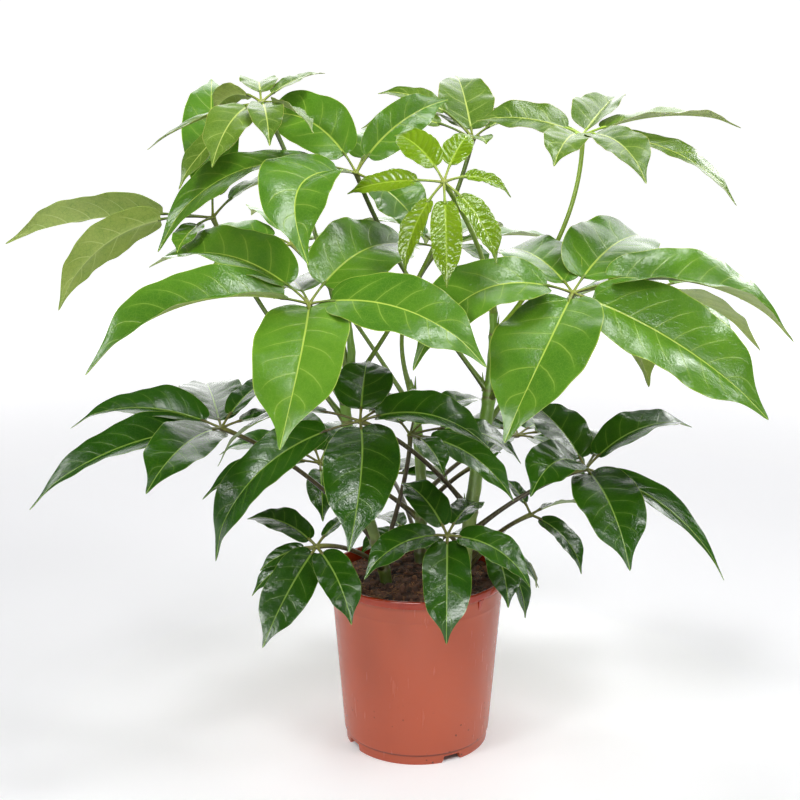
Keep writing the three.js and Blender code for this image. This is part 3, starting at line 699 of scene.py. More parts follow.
LEAVES = {
    "leaf_front_left": leaf_on("stem_left", 480, [-131, -140, 628], [-10, -15, 0], [
        [-98.5, -38, 215, 116, 0.1, 0, 8, {"sweep": -0.04}],
        [-24, -13, 235, 94, 0.13, -36, 28, {"fold": 10}], [50, 12, 215, 106, 0.15, -30, 30],
        [152, 7, 240, 104, 0.15, 17, 34, {"fold": 20}], [-160, -13, 278, 90, 0.15, 18, 30, {"fold": 32}],
        [109, -6, 178, 88, 0.14, 0, 32]]),
    "leaf_front_right": leaf_on("stem_right", 478, [186, -110, 636], [15, -20, 10], [
        [-124, -42, 222, 130, 0.1, 5, 14, {"sweep": -0.06}],
        [-17, -30, 278, 120, 0.06, -44, 26, {"fold": 18}], [12, -13, 308, 100, 0.14, -20, 46, {"fold": 28}],
        [26, -18, 312, 90, 0.12, 0, 40], [56, 12, 226, 112, 0.1, -20, 30], [115, 9, 190, 92, 0.1, 12, 22],
        [-163, -22, 220, 96, 0.24, 28, 28], [43, -41, 216, 84, 0.12, 0, 34]]),
    "leaf_young": leaf_on("stem_right", 590, [29, -110, 769], [12, 0, 0], [
        [-88, -60, 134, 40, 0.1, 0, 30], [-150, -62, 118, 38, 0.1, 15, 28],
        [166, -7, 122, 34, 0.06, 45, 34], [130, 30, 108, 46, 0.1, 30, 24], [61, 38, 90, 36, 0.08, -20, 26],
        [13, -12, 88, 28, 0.16, -30, 26], [-31, -51, 118, 42, 0.1, -20, 26]], kind="young"),
    "leaf_top_left": leaf_on("stem_left", 520, [-198, 20, 857], [8, 10, 20], [
        [50, 17, 124, 34, 0.06, 0, 26], [-172, -21, 156, 30, 0.06, 5, 26],
        [-145, -39, 158, 42, 0.06, 20, 40], [-113, -29, 146, 60, 0.14, 10, 34],
        [-80, -21, 124, 46, 0.12, 0, 24], [-41, -19, 100, 44, 0.12, 20, 24],
        [142, -10, 88, 40, 0.2, -34, 22], [98, 11, 113, 52, 0.12, 0, 24]], skin="crown"),
    "leaf_left": leaf_on("stem_left", 455, [-261, 0, 714], [-20, 10, 10], [
        [172, -7, 282, 72, 0.06, -33, 66, {"fold": 30}], [-163, -28, 228, 68, 0.18, -55, 60, {"fold": 8}],
        [96, 45, 246, 78, 0.12, 0, 30], [24, 14, 142, 52, 0.18, 0, 30], [-120, -24, 84, 40, 0.1, 0, 30]]),
    "leaf_top": leaf_on("stem_right", 487, [-78, -10, 771], [-22, 20, 10], [
        [143, 21, 182, 84, 0.17, 46, 26], [-106, -26, 202, 104, 0.2, 5, 22, {"sweep": 0.18, "fold": 20}],
        [-173, -20, 272, 76, 0.2, 5, 40, {"twist": 50}], [-20, -40, 120, 80, 0.1, -30, 24],
        [27, 34, 160, 56, 0.1, -70, 26], [70, 10, 170, 76, 0.15, 0, 28]]),
    "leaf_top_middle": leaf_on("stem_left", 492, [72, 70, 808], [22, 30, 0], [
        [97, 30, 165, 78, 0.06, 0, 20], [154, 23, 152, 34, 0.12, 30, 52], [172, 6, 150, 42, 0.12, 30, 46],
        [120, 10, 120, 50, 0.14, 0, 24], [-76, -1, 60, 30, 0.1, 0, 26],
        [35, 8, 110, 44, 0.14, 0, 28]], skin="crown"),
    "leaf_top_right": leaf_on("stem_right", 560, [211, 40, 815], [30, 10, 0], [
        [15, 3, 226, 72, 0.08, 0, 30], [-12, -22, 218, 54, 0.12, -18, 44],
        [-64, -18, 152, 66, 0.14, -10, 24], [66, 17, 158, 76, 0.02, 0, 20, {"fold": 30}],
        [177, 8, 138, 66, 0.08, 32, 22], [-113, -13, 126, 60, 0.12, 10, 26],
        [143, 13, 150, 42, 0.06, 10, 30]], skin="crown", stalk="fresh"),
    "leaf_low_right": leaf_on("stem_right", 300, [217, -50, 396], [0, 0, 12], [
        [130, 33, 128, 76, 0.09, 8, 16], [25, 14, 172, 66, 0.14, -12, 22, {"fold": 22}],
        [-19, -35, 226, 46, 0.12, -30, 26, {"fold": 25, "taper": 0.6}], [-76, -28, 175, 86, 0.12, -10, 14],
        [-138, -8, 106, 74, 0.28, 20, 14], [118, -16, 128, 52, 0.1, 0, 26],
        [60, 0, 150, 66, 0.14, 0, 28]], kind="old"),
    "leaf_small_right": leaf_on("stem_right", 262, [154, 20, 310], [0, 0, 8], [
        [-31, -41, 106, 42, 0.15, -10, 14], [23, 5, 80, 34, 0.1, 20, 16],
        [132, 40, 64, 24, 0.08, 0, 18]], kind="old"),
    "leaf_low_left": leaf_on("stem_left", 290, [-251, -60, 453], [0, 0, 20], [
        [160, -4, 230, 72, 0.11, 24, 24, {"fold": 25, "taper": 0.6}],
        [-166, -19, 262, 80, 0.1, 22, 34, {"fold": 25, "taper": 0.5}], [-112, -10, 185, 80, 0.1, 15, 18],
        [104, 7, 188, 92, 0.05, 0, 22], [58, 20, 130, 40, 0.1, 0, 24],
        [20, -4, 120, 50, 0.12, 0, 26]], kind="old"),
    "leaf_front": leaf_on("stem_right", 332, [-72, -120, 478], [0, -10, 20], [
        [-94, -38, 188, 94, 0.12, 0, 14, {"sweep": -0.05}], [-11, -9, 165, 66, 0.16, -27, 20, {"fold": 24}],
        [84, 40, 98, 78, 0.1, 0, 16], [-170, -42, 255, 74, 0.16, 32, 40], [172, -18, 198, 42, 0.19, 0, 40],
        [40, 0, 130, 60, 0.12, 0, 24]], kind="old"),
    "leaf_middle": leaf_on("stem_left", 262, [-10, -60, 444], [10, 0, 20], [
        [-24, -26, 158, 50, 0.14, -25, 26], [9, -16, 156, 50, 0.16, -20, 38],
        [78, 12, 132, 48, 0.12, 0, 26], [42, 10, 142, 48, 0.12, -10, 30], [-60, -20, 90, 42, 0.14, 0, 22],
        [120, 5, 110, 56, 0.12, 0, 26]], kind="old"),
    "leaf_low_front": leaf_on("stem_right", 250, [36, -130, 333], [0, -12, 20], [
        [-92, -50, 140, 64, 0.12, 0, 10], [-159, -20, 120, 52, 0.16, 20, 14],
        [-22, -25, 122, 52, 0.16, -22, 14], [126, 25, 110, 48, 0.12, 20, 14],
        [14, -33, 148, 46, 0.14, -20, 22], [61, 10, 100, 44, 0.12, 0, 20]], kind="old"),
    "leaf_low_front_left": leaf_on("stem_left", 250, [-128, -120, 315], [0, -10, 15], [
        [155, 13, 104, 46, 0.14, 20, 12], [-125, -42, 146, 62, 0.05, 28, 10],
        [-55, -44, 112, 54, 0.12, -10, 12], [-172, -21, 78, 24, 0.1, 40, 16], [56, 17, 80, 20, 0.08, 0, 18],
        [-172, -36, 104, 28, 0.08, 30, 20]], kind="old"),
    "leaf_low_behind": leaf_on("stem_right", 240, [100, -10, 280], [0, 0, 6], [
        [-76, -39, 99, 48, 0.16, 0, 12], [-42, -57, 109, 40, 0.14, 0, 16], [9, -45, 94, 38, 0.14, 0, 16],
        [90, -20, 110, 48, 0.14, 0, 18], [140, -10, 90, 40, 0.14, 0, 18]], kind="old"),
    "leaf_inner": leaf_on("stem_back", 266, [-16, 20, 285], [0, 0, 4], [
        [-150, -14, 72, 40, 0.12, 10, 12], [120, 0, 80, 40, 0.12, 0, 14],
        [-40, -18, 76, 36, 0.12, -10, 12]], kind="old"),
    "leaf_small_middle": leaf_on("stem_back", 300, [74, 10, 381], [0, 0, 6], [
        [153, 37, 56, 26, 0.12, 10, 12], [46, 9, 60, 26, 0.12, 0, 12],
        [100, 20, 62, 28, 0.12, 0, 12]], kind="old"),
    "leaf_back_pale": leaf_on("stem_back", 455, [33, 170, 652], [-32, 12, 0], [
        [12, 1, 186, 60, 0.08, 0, 30], [-48, -8, 100, 44, 0.12, 0, 26], [50, 3, 156, 58, 0.13, 0, 32],
        [96, -5, 170, 62, 0.13, 0, 30], [142, 6, 160, 56, 0.14, 0, 32],
        [-165, -12, 150, 58, 0.14, 10, 28]]),
    "leaf_back_left": leaf_on("stem_back", 430, [-178, 230, 648], [-10, 10, 25], [
        [162, -4, 175, 62, 0.14, 10, 32], [-150, -25, 160, 60, 0.14, 15, 28],
        [114, 8, 190, 66, 0.14, 0, 32], [66, -12, 170, 64, 0.14, 0, 32], [12, -8, 150, 58, 0.14, 0, 28],
        [-40, -25, 150, 58, 0.14, 0, 28]]),
    "leaf_back_right": leaf_on("stem_right", 440, [345, 220, 584], [0, 20, 40], [
        [20, -8, 150, 60, 0.14, 0, 28], [76, 8, 170, 64, 0.14, 0, 30], [-34, -27, 140, 56, 0.14, 0, 26],
        [130, -2, 180, 64, 0.14, 0, 30], [-176, -12, 150, 56, 0.14, 0, 28],
        [-100, -25, 130, 54, 0.14, 0, 26]]),
    "leaf_low_back_left": leaf_on("stem_back", 288, [-136, 120, 353], [0, 0, 12], [
        [165, 2, 156, 58, 0.14, 15, 24], [-163, -12, 174, 50, 0.14, 15, 24],
        [115, 15, 150, 60, 0.14, 0, 22], [68, 12, 130, 56, 0.14, 0, 22], [15, -9, 110, 46, 0.12, 0, 22],
        [-85, -30, 108, 44, 0.12, 0, 20]], kind="old"),
    "leaf_low_back_right": leaf_on("stem_back", 318, [150, 200, 372], [0, 10, 14], [
        [5, -12, 128, 56, 0.12, 0, 26], [52, -10, 160, 64, 0.12, 0, 26], [100, -4, 170, 66, 0.14, 0, 26],
        [150, -8, 150, 58, 0.14, 0, 24], [-45, -20, 140, 56, 0.14, 0, 24],
        [-130, -18, 120, 50, 0.14, 0, 24]], kind="old"),
    "leaf_low_back": leaf_on("stem_back", 245, [-40, 240, 300], [0, 10, 12], [
        [90, -20, 150, 62, 0.14, 0, 22], [45, -16, 140, 58, 0.14, 0, 22], [140, -14, 145, 60, 0.14, 0, 22],
        [-175, -18, 120, 50, 0.14, 0, 20], [5, -20, 115, 48, 0.14, 0, 20]], kind="old"),
}

print(len(LEAVES), "leaves,", sum(len(leaf["leaflets"]) for leaf in LEAVES.values()), "leaflets")

# %% [markdown]
# ### The shape of a leaflet
# A leaflet's spine is an arched line from the hub to the tip.  At each point of it, `across` is the
# direction of the blade's right-hand side and `outward` that of its upper face.

# %% Spine
def heading(turn, tilt):
    turn, tilt = math.radians(turn), math.radians(tilt)
    return np.array([math.cos(tilt) * math.cos(turn), math.cos(tilt) * math.sin(turn), math.sin(tilt)])


def unit(rows):
    return rows / np.linalg.norm(rows, axis=1)[:, None]


def spine(hub, leaflet, t):
    """Points, across and outward directions of a leaflet's midrib at shares t from hub to tip."""
    turn, tilt, reach, _, arch, roll, stalk, more = (*leaflet, {})[:8]
    t = np.asarray(t, float)[:, None]
    ahead, up = heading(turn, tilt), heading(turn, tilt + 90)
    right = np.cross(ahead, up)
    sweep = more.get("sweep", 0)
    points = np.array(hub) + reach * (ahead * t + (arch * up + sweep * right) * 4 * t * (1 - t))
    forward = unit(ahead + (arch * up + sweep * right) * 4 * (1 - 2 * t))
    level = unit(np.cross(forward, up))
    square = np.cross(level, forward)
    turned = np.radians(roll + more.get("twist", 0) * np.maximum(0, t - stalk / reach))
    across = level * np.cos(turned) + square * np.sin(turned)
    return points, across, np.cross(across, forward)


# %% [markdown]
# ### A blade
# The blade is two skins, 0.45 mm apart, with a thin edge between them.  Columns of points crowd
# towards the midrib, which is a groove with a fine ridge above and a strong rib below.  Between the
# side veins the blade swells, and the groove along each vein is what breaks its reflections.  Both
# halves lift from the midrib by the fold, and the margin rides up and down in long waves.  At the base
# the margin sits back in two round lobes, and at the tip the blade curls down.

# %% Blade
BLADE_ROWS = {"upper": 58, "old": 58, "young": 118}
BLADE_COLUMNS = np.array([-1, -0.95, -0.84, -0.7, -0.54, -0.38, -0.22, -0.1, -0.035, 0,
                          0.035, 0.1, 0.22, 0.38, 0.54, 0.7, 0.84, 0.95, 1])
BLADE_THICKNESS = 0.45
BLADE_DROP = 0.7
SWELL = {"upper": 0.6, "old": 0.75, "young": 2.8}
VEIN_SPACING = {"upper": 28, "old": 24, "young": 9}
FOLD_DEG = 12
WAVES = 2.3
# Shares of the blade's width, and for the lobes of its length
WAVE_HEIGHT = 0.035
RIPPLE_HEIGHT = 0.012
LOBE = 0.055


def skin_faces(rows, columns):
    """Quads of the upper and the lower skin of a sheet, and of the thin edge between them."""
    number = np.arange(rows * columns).reshape(rows, columns)
    upper, under = number, number + rows * columns
    faces = []
    for skin, flip in ((upper, False), (under, True)):
        a, b, c, d = skin[:-1, :-1], skin[:-1, 1:], skin[1:, 1:], skin[1:, :-1]
        corners = (a, d, c, b) if flip else (a, b, c, d)
        faces.append(np.stack([x.ravel() for x in corners], 1))
    edges = ((np.s_[:, 0], False), (np.s_[:, -1], True), (np.s_[0, :], True), (np.s_[-1, :], False))
    for edge, flip in edges:
        a, b = (under, upper) if flip else (upper, under)
        faces.append(np.stack([a[edge][:-1], a[edge][1:], b[edge][1:], b[edge][:-1]], 1))
    return np.concatenate(faces).tolist()


def blade(shape, hub, leaflet, seed, kind):
    """Adds one blade to a shape."""
    _, _, reach, width, _, _, stalk, more = (*leaflet, {})[:8]
    fold = math.radians(more.get("fold", FOLD_DEG))
    s = np.linspace(0, 1, BLADE_ROWS[kind])
    v = 0.0001 + 0.9989 * (0.75 * s + 0.25 * (1 - np.cos(math.pi * s)) / 2)
    base = stalk / reach
    centre, across, outward = spine(hub, leaflet, base + (1 - base) * v)
    # The outline: half the blade's width at each row
    taper = more.get("taper", 0) * smoothstep(0.2, 1, v)
    half = width / 2 * np.sin(math.pi * v ** 0.72) ** 0.62 * (1 - taper)
    half = (half * (1 - 0.62 * smoothstep(0.7, 0.95, v)))[:, None]
    u = BLADE_COLUMNS[None, :]
    v = v[:, None]
    side, far = np.sign(u), np.abs(u)
    uneven = np.sin(2 * math.pi * (1.2 + 1.3 * draw(seed + 0.1)) * v + 20 * draw(seed + 0.2) + 2.4 * side)
    half = half * (1 - 0.025 * far + 0.03 * uneven * far * smoothstep(0.05, 0.3, v))
    slim = np.sqrt(2 * half / width)
    # The lift: fold, long waves and short ripples of the margin
    phase = 2 * math.pi * draw(seed)
    wave = 2 * WAVE_HEIGHT * half * np.sin(2 * math.pi * WAVES * v + phase + np.where(u < 0, 2, 0))
    ripples = np.sin(2 * math.pi * (5.3 + 2 * draw(seed + 0.5)) * v + 3 * phase + 1.7 * side)
    lift = half * math.sin(fold) * far * (1 + 0.45 * (1 - far)) + wave * far ** 1.6
    lift = lift + RIPPLE_HEIGHT * width * ripples * far ** 3 * np.sqrt(half / width)
    # The side veins, counted along the blade, and the swelling between them
    pairs = max(5, round((reach - stalk) / VEIN_SPACING[kind]))
    uneven = 0.16 * np.sin(9 * v + 20 * draw(seed + 0.6) + 2 * side)
    count = (v - 0.13 * far - 0.07 * far ** 3) * pairs + np.where(u < 0, 0.37, 0) + uneven
    between = np.abs(np.sin(math.pi * count)) ** 0.8 - 0.55
    swell = SWELL[kind] * between * smoothstep(0.04, 0.3, far) * (1 - 0.55 * smoothstep(0.8, 1, far))
    lift = lift + swell * slim
    droop = -0.03 * reach * (0.2 + draw(seed + 0.3)) * smoothstep(0.72, 1, v) ** 1.6 - BLADE_DROP
    lobes = LOBE * (reach - stalk) * far ** 1.5 * (1 - smoothstep(0, 0.3, v)) * slim
    # The midrib: a groove with a ridge above, a rib below
    out = half * u * math.cos(fold)
    groove = 0.7 * np.exp(-(out / 3.2) ** 2) - 0.75 * np.exp(-(out / 1.2) ** 2)
    rib = (0.25 + 1.15 * (1 - v)) * np.exp(-(out / 1.5) ** 2)
    forward = unit(np.gradient(centre, axis=0))
    top = (centre[:, None] + across[:, None] * out[..., None] - forward[:, None] * lobes[..., None]
           + outward[:, None] * (lift + droop - groove * (1 - v) + BLADE_THICKNESS / 2)[..., None])
    low = top - outward[:, None] * (BLADE_THICKNESS - 0.4 * groove * (1 - v) + rib)[..., None]

    def both_skins(first, second):
        pair = [np.broadcast_to(x, count.shape).ravel() for x in (first, second)]
        return np.tile(np.stack(pair, 1), (2, 1))

    shape.add(np.concatenate([top.reshape(-1, 3), low.reshape(-1, 3)]), skin_faces(*top.shape[:2]),
              blade=both_skins(u, v), veins=both_skins(count, np.abs(out) / 100),
              tone=measures(2 * count.size, draw(seed + 0.7), np.repeat([0.0, 1.0], count.size)))


# %% [markdown]
# ### Stalks
# A leaflet hangs on a thin stalk that thickens at the hub, and a leaf on a long one that clasps the
# stem with a broad foot.  The stalks of one leaf and its hub make one piece.

# %% Stalks
PETIOLE_RADIUS = 3.0
PETIOLE_RINGS = 44
PETIOLE_SIDES = 12
# A petiole starts inside the stem, this far from the stem's axis
PETIOLE_START = 4.5
STALK_RADIUS = 1.6
STALK_RINGS = 16
STALK_SIDES = 9
# A leaflet's stalk runs on under this share of its blade
STALK_END = 0.035
HUB_RADIUS = 5.4
HUB_RINGS = 12
HUB_SIDES = 14
# What the `stalk` map says where the foot is out of reach, in tenths of a metre
FAR_FROM_FOOT = 2.0


def stalks(shape, leaf):
    """Adds a leaf's petiole, leaflet stalks and hub to a shape."""
    hub, bow = np.array(leaf["hub"], float), np.array(leaf["bow"], float)
    root = stem_point(*leaf["root"])
    t = np.linspace(0, 1, PETIOLE_RINGS)
    t = t + (1 - t) * PETIOLE_START / np.linalg.norm(hub - root)
    path = root + (hub - root) * t[:, None] + bow * (4 * t * (1 - t))[:, None]
    to_hub = np.linalg.norm(path - hub, axis=1)
    foot = np.linalg.norm(path - root, axis=1)
    radii = PETIOLE_RADIUS * (1 + 1.2 * np.exp(-foot / 20) + 0.3 * np.exp(-to_hub / 9))
    points, faces = tube(path, radii, PETIOLE_SIDES)
    to_hub, foot = per_point(to_hub, PETIOLE_SIDES), per_point(foot, PETIOLE_SIDES)
    shape.add(points, faces, stalk=measures(len(points), to_hub / 100, foot / 100))
    for leaflet in leaf["leaflets"]:
        reach, stalk = leaflet[2], leaflet[6]
        end = stalk + STALK_END * (reach - stalk)
        t = np.linspace(0.002, end / reach, STALK_RINGS)
        centre, _, outward = spine(hub, leaflet, t)
        distance = t * reach
        sink = smoothstep(stalk - 4, stalk + 6, distance)[:, None] * 0.9
        swollen = 0.98 + 0.6 * np.exp(-distance / 4) + 0.35 * np.exp(-((distance - stalk) / 5) ** 2)
        radii = STALK_RADIUS * swollen * (1 - 0.75 * smoothstep(stalk, end, distance))
        points, faces = tube(centre - outward * sink, radii, STALK_SIDES)
        distance = per_point(distance, STALK_SIDES)
        shape.add(points, faces, stalk=measures(len(points), distance / 100, FAR_FROM_FOOT))
    level = np.linspace(-1, 1, HUB_RINGS)
    radii = HUB_RADIUS * 0.82 * np.sqrt(np.clip(1 - level ** 2, 0.004, 1))
    points, faces = tube(hub + np.outer(level, [0, 0, HUB_RADIUS * 0.62]), radii, HUB_SIDES)
    shape.add(points, faces, stalk=measures(len(points), 0.01, FAR_FROM_FOOT))


probe = Shape("blade", "veins", "tone")
blade(probe, (0, 0, 0), LEAVES["leaf_front_left"]["leaflets"][0], 1, "upper")
print("faces of one blade:", len(probe.faces))

# %% [markdown]
# ### What a leaf's surface is made of
# The veins are drawn by the shader, exactly on the relief of the mesh, from the measures that the UV
# maps carry: the count along the side veins, the distance from the midrib, and the places across and
# along.  The same effect serves every leaf.  It gives masks only, so that each kind of leaf can choose
# its own colours and gloss.

# %% Leaf veins
leaf_veins, given, out = new_effect(
    "leaf veins",
    [("Measures", "Vector", None), ("Blade", "Vector", None), ("Position", "Vector", None),
     ("Vein Width", "Float", 0.03), ("Net Scale", "Float", 200.0)],
    [(name, "Float") for name in ("Midrib", "Side Veins", "Margin", "Net", "Hollow", "Streaks")])


def draw_veins(tree, given, out):
    here = given["Position"]
    count, away, _ = split(tree, given["Measures"])
    wide, along, _ = split(tree, given["Blade"])
    far = calc(tree, "ABSOLUTE", wide)
    wobble = add(tree, "ShaderNodeTexNoise", {"Vector": here, "Scale": 55.0, "Detail": 2.0}).outputs[0]
    count = calc(tree, "MULTIPLY_ADD", calc(tree, "SUBTRACT", wobble, 0.5), 0.1, count)
    gap = calc(tree, "PINGPONG", count, 0.5)
    width = times(tree, ramp(tree, along, 0.0, 1.0, 1.0, 0.35), 0.013)
    wire(tree, out["Midrib"], ramp(tree, calc(tree, "DIVIDE", away, width), 1.25, 0.55))
    fading = ramp(tree, far, 0.93, 0.5)
    line = ramp(tree, calc(tree, "DIVIDE", gap, given["Vein Width"]), 1.3, 0.25)
    wire(tree, out["Side Veins"], times(tree, line, fading))
    wire(tree, out["Hollow"], times(tree, ramp(tree, gap, 0.26, 0.0), fading))
    wire(tree, out["Margin"], ramp(tree, far, 0.972, 0.992))
    # Fine wrinkles run out from the midrib beside the side veins
    run = add(tree, "ShaderNodeCombineXYZ", {0: times(tree, count, 9.0), 1: times(tree, away, 14.0),
                                             2: calc(tree, "SIGN", wide)}).outputs[0]
    wrinkles = {"Vector": run, "Scale": 1.0, "Detail": 3.0, "Roughness": 0.6}
    wire(tree, out["Streaks"], add(tree, "ShaderNodeTexNoise", wrinkles).outputs[0])
    # A net of small veins, and a finer net half as strong
    coarse, fine = (add(tree, "ShaderNodeTexVoronoi", {"Vector": here, "Scale": scale},
                        feature="DISTANCE_TO_EDGE").outputs[0]
                    for scale in (given["Net Scale"], times(tree, given["Net Scale"], 2.7)))
    fine = times(tree, ramp(tree, fine, 0.1, 0.0), 0.5)
    wire(tree, out["Net"], calc(tree, "MAXIMUM", ramp(tree, coarse, 0.075, 0.0), fine))


draw_veins(leaf_veins, given, out)
print("outputs:", [o.name for o in leaf_veins.interface.items_tree if o.in_out == "OUTPUT"])

# %% [markdown]
# ### Four kinds of leaf
# The leaves in the light are a yellow green, those of the crown are more olive and only satin, the old
# ones low on the plant are dark and glossier, and the newest is lime green and quilted.  Every
# underside is paler and duller, which a mask in the `tone` map tells apart from the upper face.
# Colours shift from leaflet to leaflet by the same map.

# %% Leaf finishes
# For each kind: five colours of the upper face (deep, light, vein, midrib, margin), two of the underside
# (face, vein), and then roughness, the strength of the net of small veins, and relief
LEAF_LOOKS = {
    "upper": ("3e6e18", "5f8e22", "94b444", "aec650", "a4ba4a", "a0b352", "bccb78", 0.09, 0.14, 1.0),
    "crown": ("3a5e14", "628226", "9cb450", "b4c460", "a8a850", "a0b052", "bccb78", 0.15, 0.2, 1.2),
    "old": ("194103", "2d5f06", "658c2e", "86a844", "7d9a3c", "7c9250", "a4b470", 0.07, 0.1, 1.1),
    "young": ("5f840a", "769414", "8aa828", "98b438", "a4bc44", "9cb45c", "c0cf88", 0.05, 0.12, 0.4),
}


def leaf_finish(kind):
    deep, light, vein, midrib, margin, below, vein_below, rough, net, relief = LEAF_LOOKS[kind]
    material, tree, _, here = new_material(f"leaf_{kind}")
    tone, under, _ = split(tree, uv(tree, "tone"))
    veins = place(tree, leaf_veins, {"Measures": uv(tree, "veins"), "Blade": uv(tree, "blade"),
                                     "Position": here})
    patch, small = patches(tree, here, 16.0, 0.3, 0.7), patches(tree, here, 70.0, 0.35, 0.7)
    shift = calc(tree, "MULTIPLY_ADD", patch, 0.45, times(tree, tone, 0.45))
    shift = calc(tree, "MULTIPLY_ADD", small, 0.15, shift)
    face = blend(tree, shift, deep, light)
    for mask, share, colour in (("Hollow", 0.1, vein), ("Net", net, vein), ("Side Veins", 0.5, vein),
                                ("Margin", 0.85, margin), ("Midrib", 0.95, midrib)):
        face = tint(tree, face, veins[mask], share, colour)
    ribs = calc(tree, "MAXIMUM", veins["Side Veins"], veins["Midrib"])
    back = tint(tree, below, small, 0.3, light)
    back = tint(tree, back, veins["Net"], 0.35, deep)
    back = tint(tree, back, ribs, 0.85, vein_below)
    dull = calc(tree, "MULTIPLY_ADD", patch, 0.05, rough)
    normal = None
    for height, distance in ((veins["Net"], -0.00005 * relief), (ribs, -0.0001),
                             (veins["Streaks"], 0.00014 * relief), (roughen(tree, here, 110.0), 0.0004)):
        normal = raised(tree, height, distance, normal)
    return dress(material, blend(tree, under, face, back),
                 calc(tree, "MULTIPLY_ADD", under, 0.3, dull), normal)


leaf_materials = {kind: leaf_finish(kind) for kind in LEAF_LOOKS}
print("leaf finishes:", sorted(leaf_materials))

# %% [markdown]
# ### Stalk finishes
# A stalk is smooth and waxy.  It is green, with painted shade that darkens its lower side, and turns
# yellow-green towards the hub and at its foot.  Those of old leaves are brown in between, and the fresh
# one at the top right is a light green all over.  The `stalk` map holds the distance from the hub and
# from the foot, and the surface's own direction tells where the lower side gets its painted shade.

# %% Stalk finish
# For each kind: the colours of the middle, of both ends and of the painted shade on the lower side, and
# how far from the hub, in tenths of a metre, the colour of the ends reaches
STALK_LOOKS = {
    "upper": ("668024", "98a03e", "2c2a12", 0.3),
    "old": ("4a4018", "868a38", "1e100a", 0.4),
    "young": ("8ba63a", "98a048", "66802c", 0.3),
    "fresh": ("98b834", "a8bc50", "789228", 0.2),
}


def stalk_finish(kind):
    middle, ends, below, reach = STALK_LOOKS[kind]
    material, tree, shader, here = new_material(f"stalk_{kind}")
    from_hub, from_foot, _ = split(tree, uv(tree, "stalk"))
    at_hub = ramp(tree, from_hub, reach, 0.02)
    at_foot = ramp(tree, from_foot, reach * 0.5, 0.04)
    patch = patches(tree, here, 45.0)
    at_ends = calc(tree, "MAXIMUM", at_hub, at_foot)
    base = blend(tree, times(tree, at_ends, calc(tree, "MULTIPLY_ADD", patch, 0.3, 0.6)), middle, ends)
    # Painted shade: the lower side, facing down, is darkened towards the `below` colour
    facing = split(tree, add(tree, "ShaderNodeNewGeometry").outputs["Normal"])[2]
    base = tint(tree, base, ramp(tree, facing, 0.35, -0.5), 0.8, below)
    streaks = patches(tree, upright(tree, here, 0.15), 420.0, 0.5, 0.75)
    shader["Specular IOR Level"].default_value = 0.3
    return dress(material, tint(tree, base, streaks, 0.18, "c0c890"),
                 calc(tree, "MULTIPLY_ADD", patch, 0.1, 0.32), raised(tree, streaks, 0.00012))


stalk_materials = {kind: stalk_finish(kind) for kind in STALK_LOOKS}
print("stalk finishes:", sorted(stalk_materials))

# %% [markdown]
# ### Bark
# The stems are still green, with a thin corky skin that is browner near the soil, pale pores, and
# a brown scar round each node.

# %% Bark finish
def bark_finish():
    material, tree, _, here = new_material("stem_bark")
    height, scar, _ = split(tree, uv(tree, "bark"))
    base = blend(tree, patches(tree, here, 38.0), "5c7420", "7c943c")
    base = tint(tree, base, ramp(tree, height, 3.3, 4.4), 0.85, "6f9c22")
    cork = patches(tree, upright(tree, here, 0.1), 210.0, 0.52, 0.7)
    base = tint(tree, base, cork, ramp(tree, height, 3.3, 2.2, 0.1, 0.75), "8b7a52")
    pores = dots(tree, here, 230.0, 0.22, 0.2)
    base = tint(tree, base, pores, 0.55, "b3ad78")
    return dress(material, tint(tree, base, scar, 0.85, "6a5230"),
                 calc(tree, "MULTIPLY_ADD", cork, 0.2, 0.42),
                 raised(tree, pores, 0.0003, raised(tree, cork, 0.0003)))


bark = bark_finish()
print("finish:", bark.name)

# %% Stems
STEM_RINGS = 220
STEM_SIDES = 28
OLD_SCARS = 8
OLD_SCAR_STEP = 31
LOWEST_SCAR_Z = 236
# Lean and length of each scale of the bud that ends a stem
BUD_SCALES = ((0.0, 16), (0.3, 12), (-0.32, 10))
# What the `bark` map says of the pale scales, as a height in tenths of a metre and a share of scar
LEAF_SCALE_MARKS = (5.2, 0.3)


def node_heights(name):
    """Heights of a stem's nodes: one under each leaf, and old scars down to the soil."""
    leaves = [leaf["root"][1] for leaf in LEAVES.values() if leaf["root"][0] == name]
    scars = [min(leaves) - OLD_SCAR_STEP * (i + 1 + 0.2 * draw(i)) for i in range(OLD_SCARS)]
    return leaves + [z for z in scars if z > LOWEST_SCAR_Z]


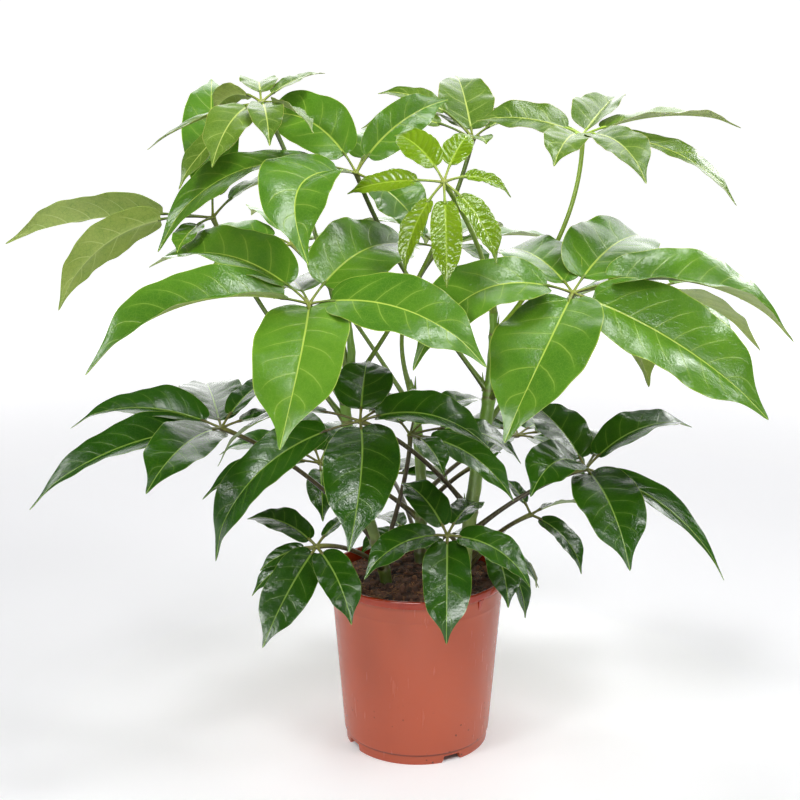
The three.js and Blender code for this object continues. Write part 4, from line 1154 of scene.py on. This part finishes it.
def make_stem(name):
    path = np.array([smooth_curve(STEMS[name], s) for s in np.linspace(0, 0.99999, STEM_RINGS)])
    path, radii = path[:, :3], path[:, 3].copy()
    height, marks = path[:, 2], np.zeros(len(path))
    for z in node_heights(name):
        radii += 1.1 * np.exp(-((height - z) / 5) ** 2) - 0.5 * np.exp(-((height - z - 3) / 1.4) ** 2)
        marks = np.maximum(marks, np.exp(-((height - z - 2.5) / 1.6) ** 2))
    ahead = path[-1] - path[-4]
    ahead /= np.linalg.norm(ahead)
    shape = Shape("bark")
    points, faces = tube(path, radii, STEM_SIDES)
    middle = per_point(np.arange(STEM_RINGS), STEM_SIDES)
    lumps = np.array([noise.noise(Vector(p) / 11) for p in points])[:, None] * 0.7
    away = points - path[middle]
    points = points + away / np.maximum(np.linalg.norm(away, axis=1), 0.01)[:, None] * lumps
    shape.add(points, faces, bark=measures(len(points), points[:, 2] / 100, marks[middle]))
    # The bud that ends a stem is wrapped in small pointed scales
    for i, (lean, length) in enumerate(BUD_SCALES):
        side = np.cross(ahead, [math.cos(i * 2.1), math.sin(i * 2.1), 0.2])
        t = np.linspace(0, 1, 9)[:, None]
        scale = path[-1] - ahead * 2 + ahead * length * t + side * lean * length * t * (1.4 - t)
        points, faces = tube(scale, radii[-1] * 0.75 * (1 - t[:, 0] ** 1.6) + 0.25, 10)
        shape.add(points, faces, bark=measures(len(points), points[:, 2] / 100 + 1, 0.15))
    # A pale papery scale clasps the stem above each leaf's foot
    for leaf in (leaf for leaf in LEAVES.values() if leaf["root"][0] == name):
        root = stem_point(*leaf["root"])
        out = (np.array(leaf["hub"]) - root) * [1, 1, 0]
        out /= np.linalg.norm(out)
        near = np.argmin(np.abs(height - root[2]))
        t = np.linspace(0, 1, 10)[:, None]
        scale = root + out * (radii[near] - 0.8 + 1.6 * t * t) + np.array([0, 0, 1]) * (2 + 26 * t)
        points, faces = tube(scale, 2.3 * (1 - t[:, 0]) ** 0.8 + 0.2, 8)
        shape.add(points, faces, bark=measures(len(points), *LEAF_SCALE_MARKS))
    return shape.piece(f"{name}_bark", [bark], name, "stem_bark")


for stem in STEMS:
    print(stem, "faces:", len(make_stem(stem).data.polygons))

# %% [markdown]
# ## All the leaves
# Each leaf becomes two pieces, its blades and its stalks, and both stand for the same solid of the
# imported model.

# %% Leaves
def make_leaf(order, name, leaf):
    kind = leaf["kind"]
    blades = Shape("blade", "veins", "tone")
    for i, leaflet in enumerate(leaf["leaflets"]):
        blade(blades, leaf["hub"], leaflet, order * 10 + i, kind)
    piece = blades.piece(f"{name}_blades", [leaf_materials[leaf["skin"]]], name, f"{kind}_leaf", 70)
    stems = Shape("stalk")
    stalks(stems, leaf)
    stems.piece(f"{name}_stalks", [stalk_materials[leaf["stalk"]]], name, f"{kind}_leaf", 70)
    return len(piece.data.polygons)


faces_made = [make_leaf(order, name, leaf) for order, (name, leaf) in enumerate(LEAVES.items())]
print("blade faces:", sum(faces_made))
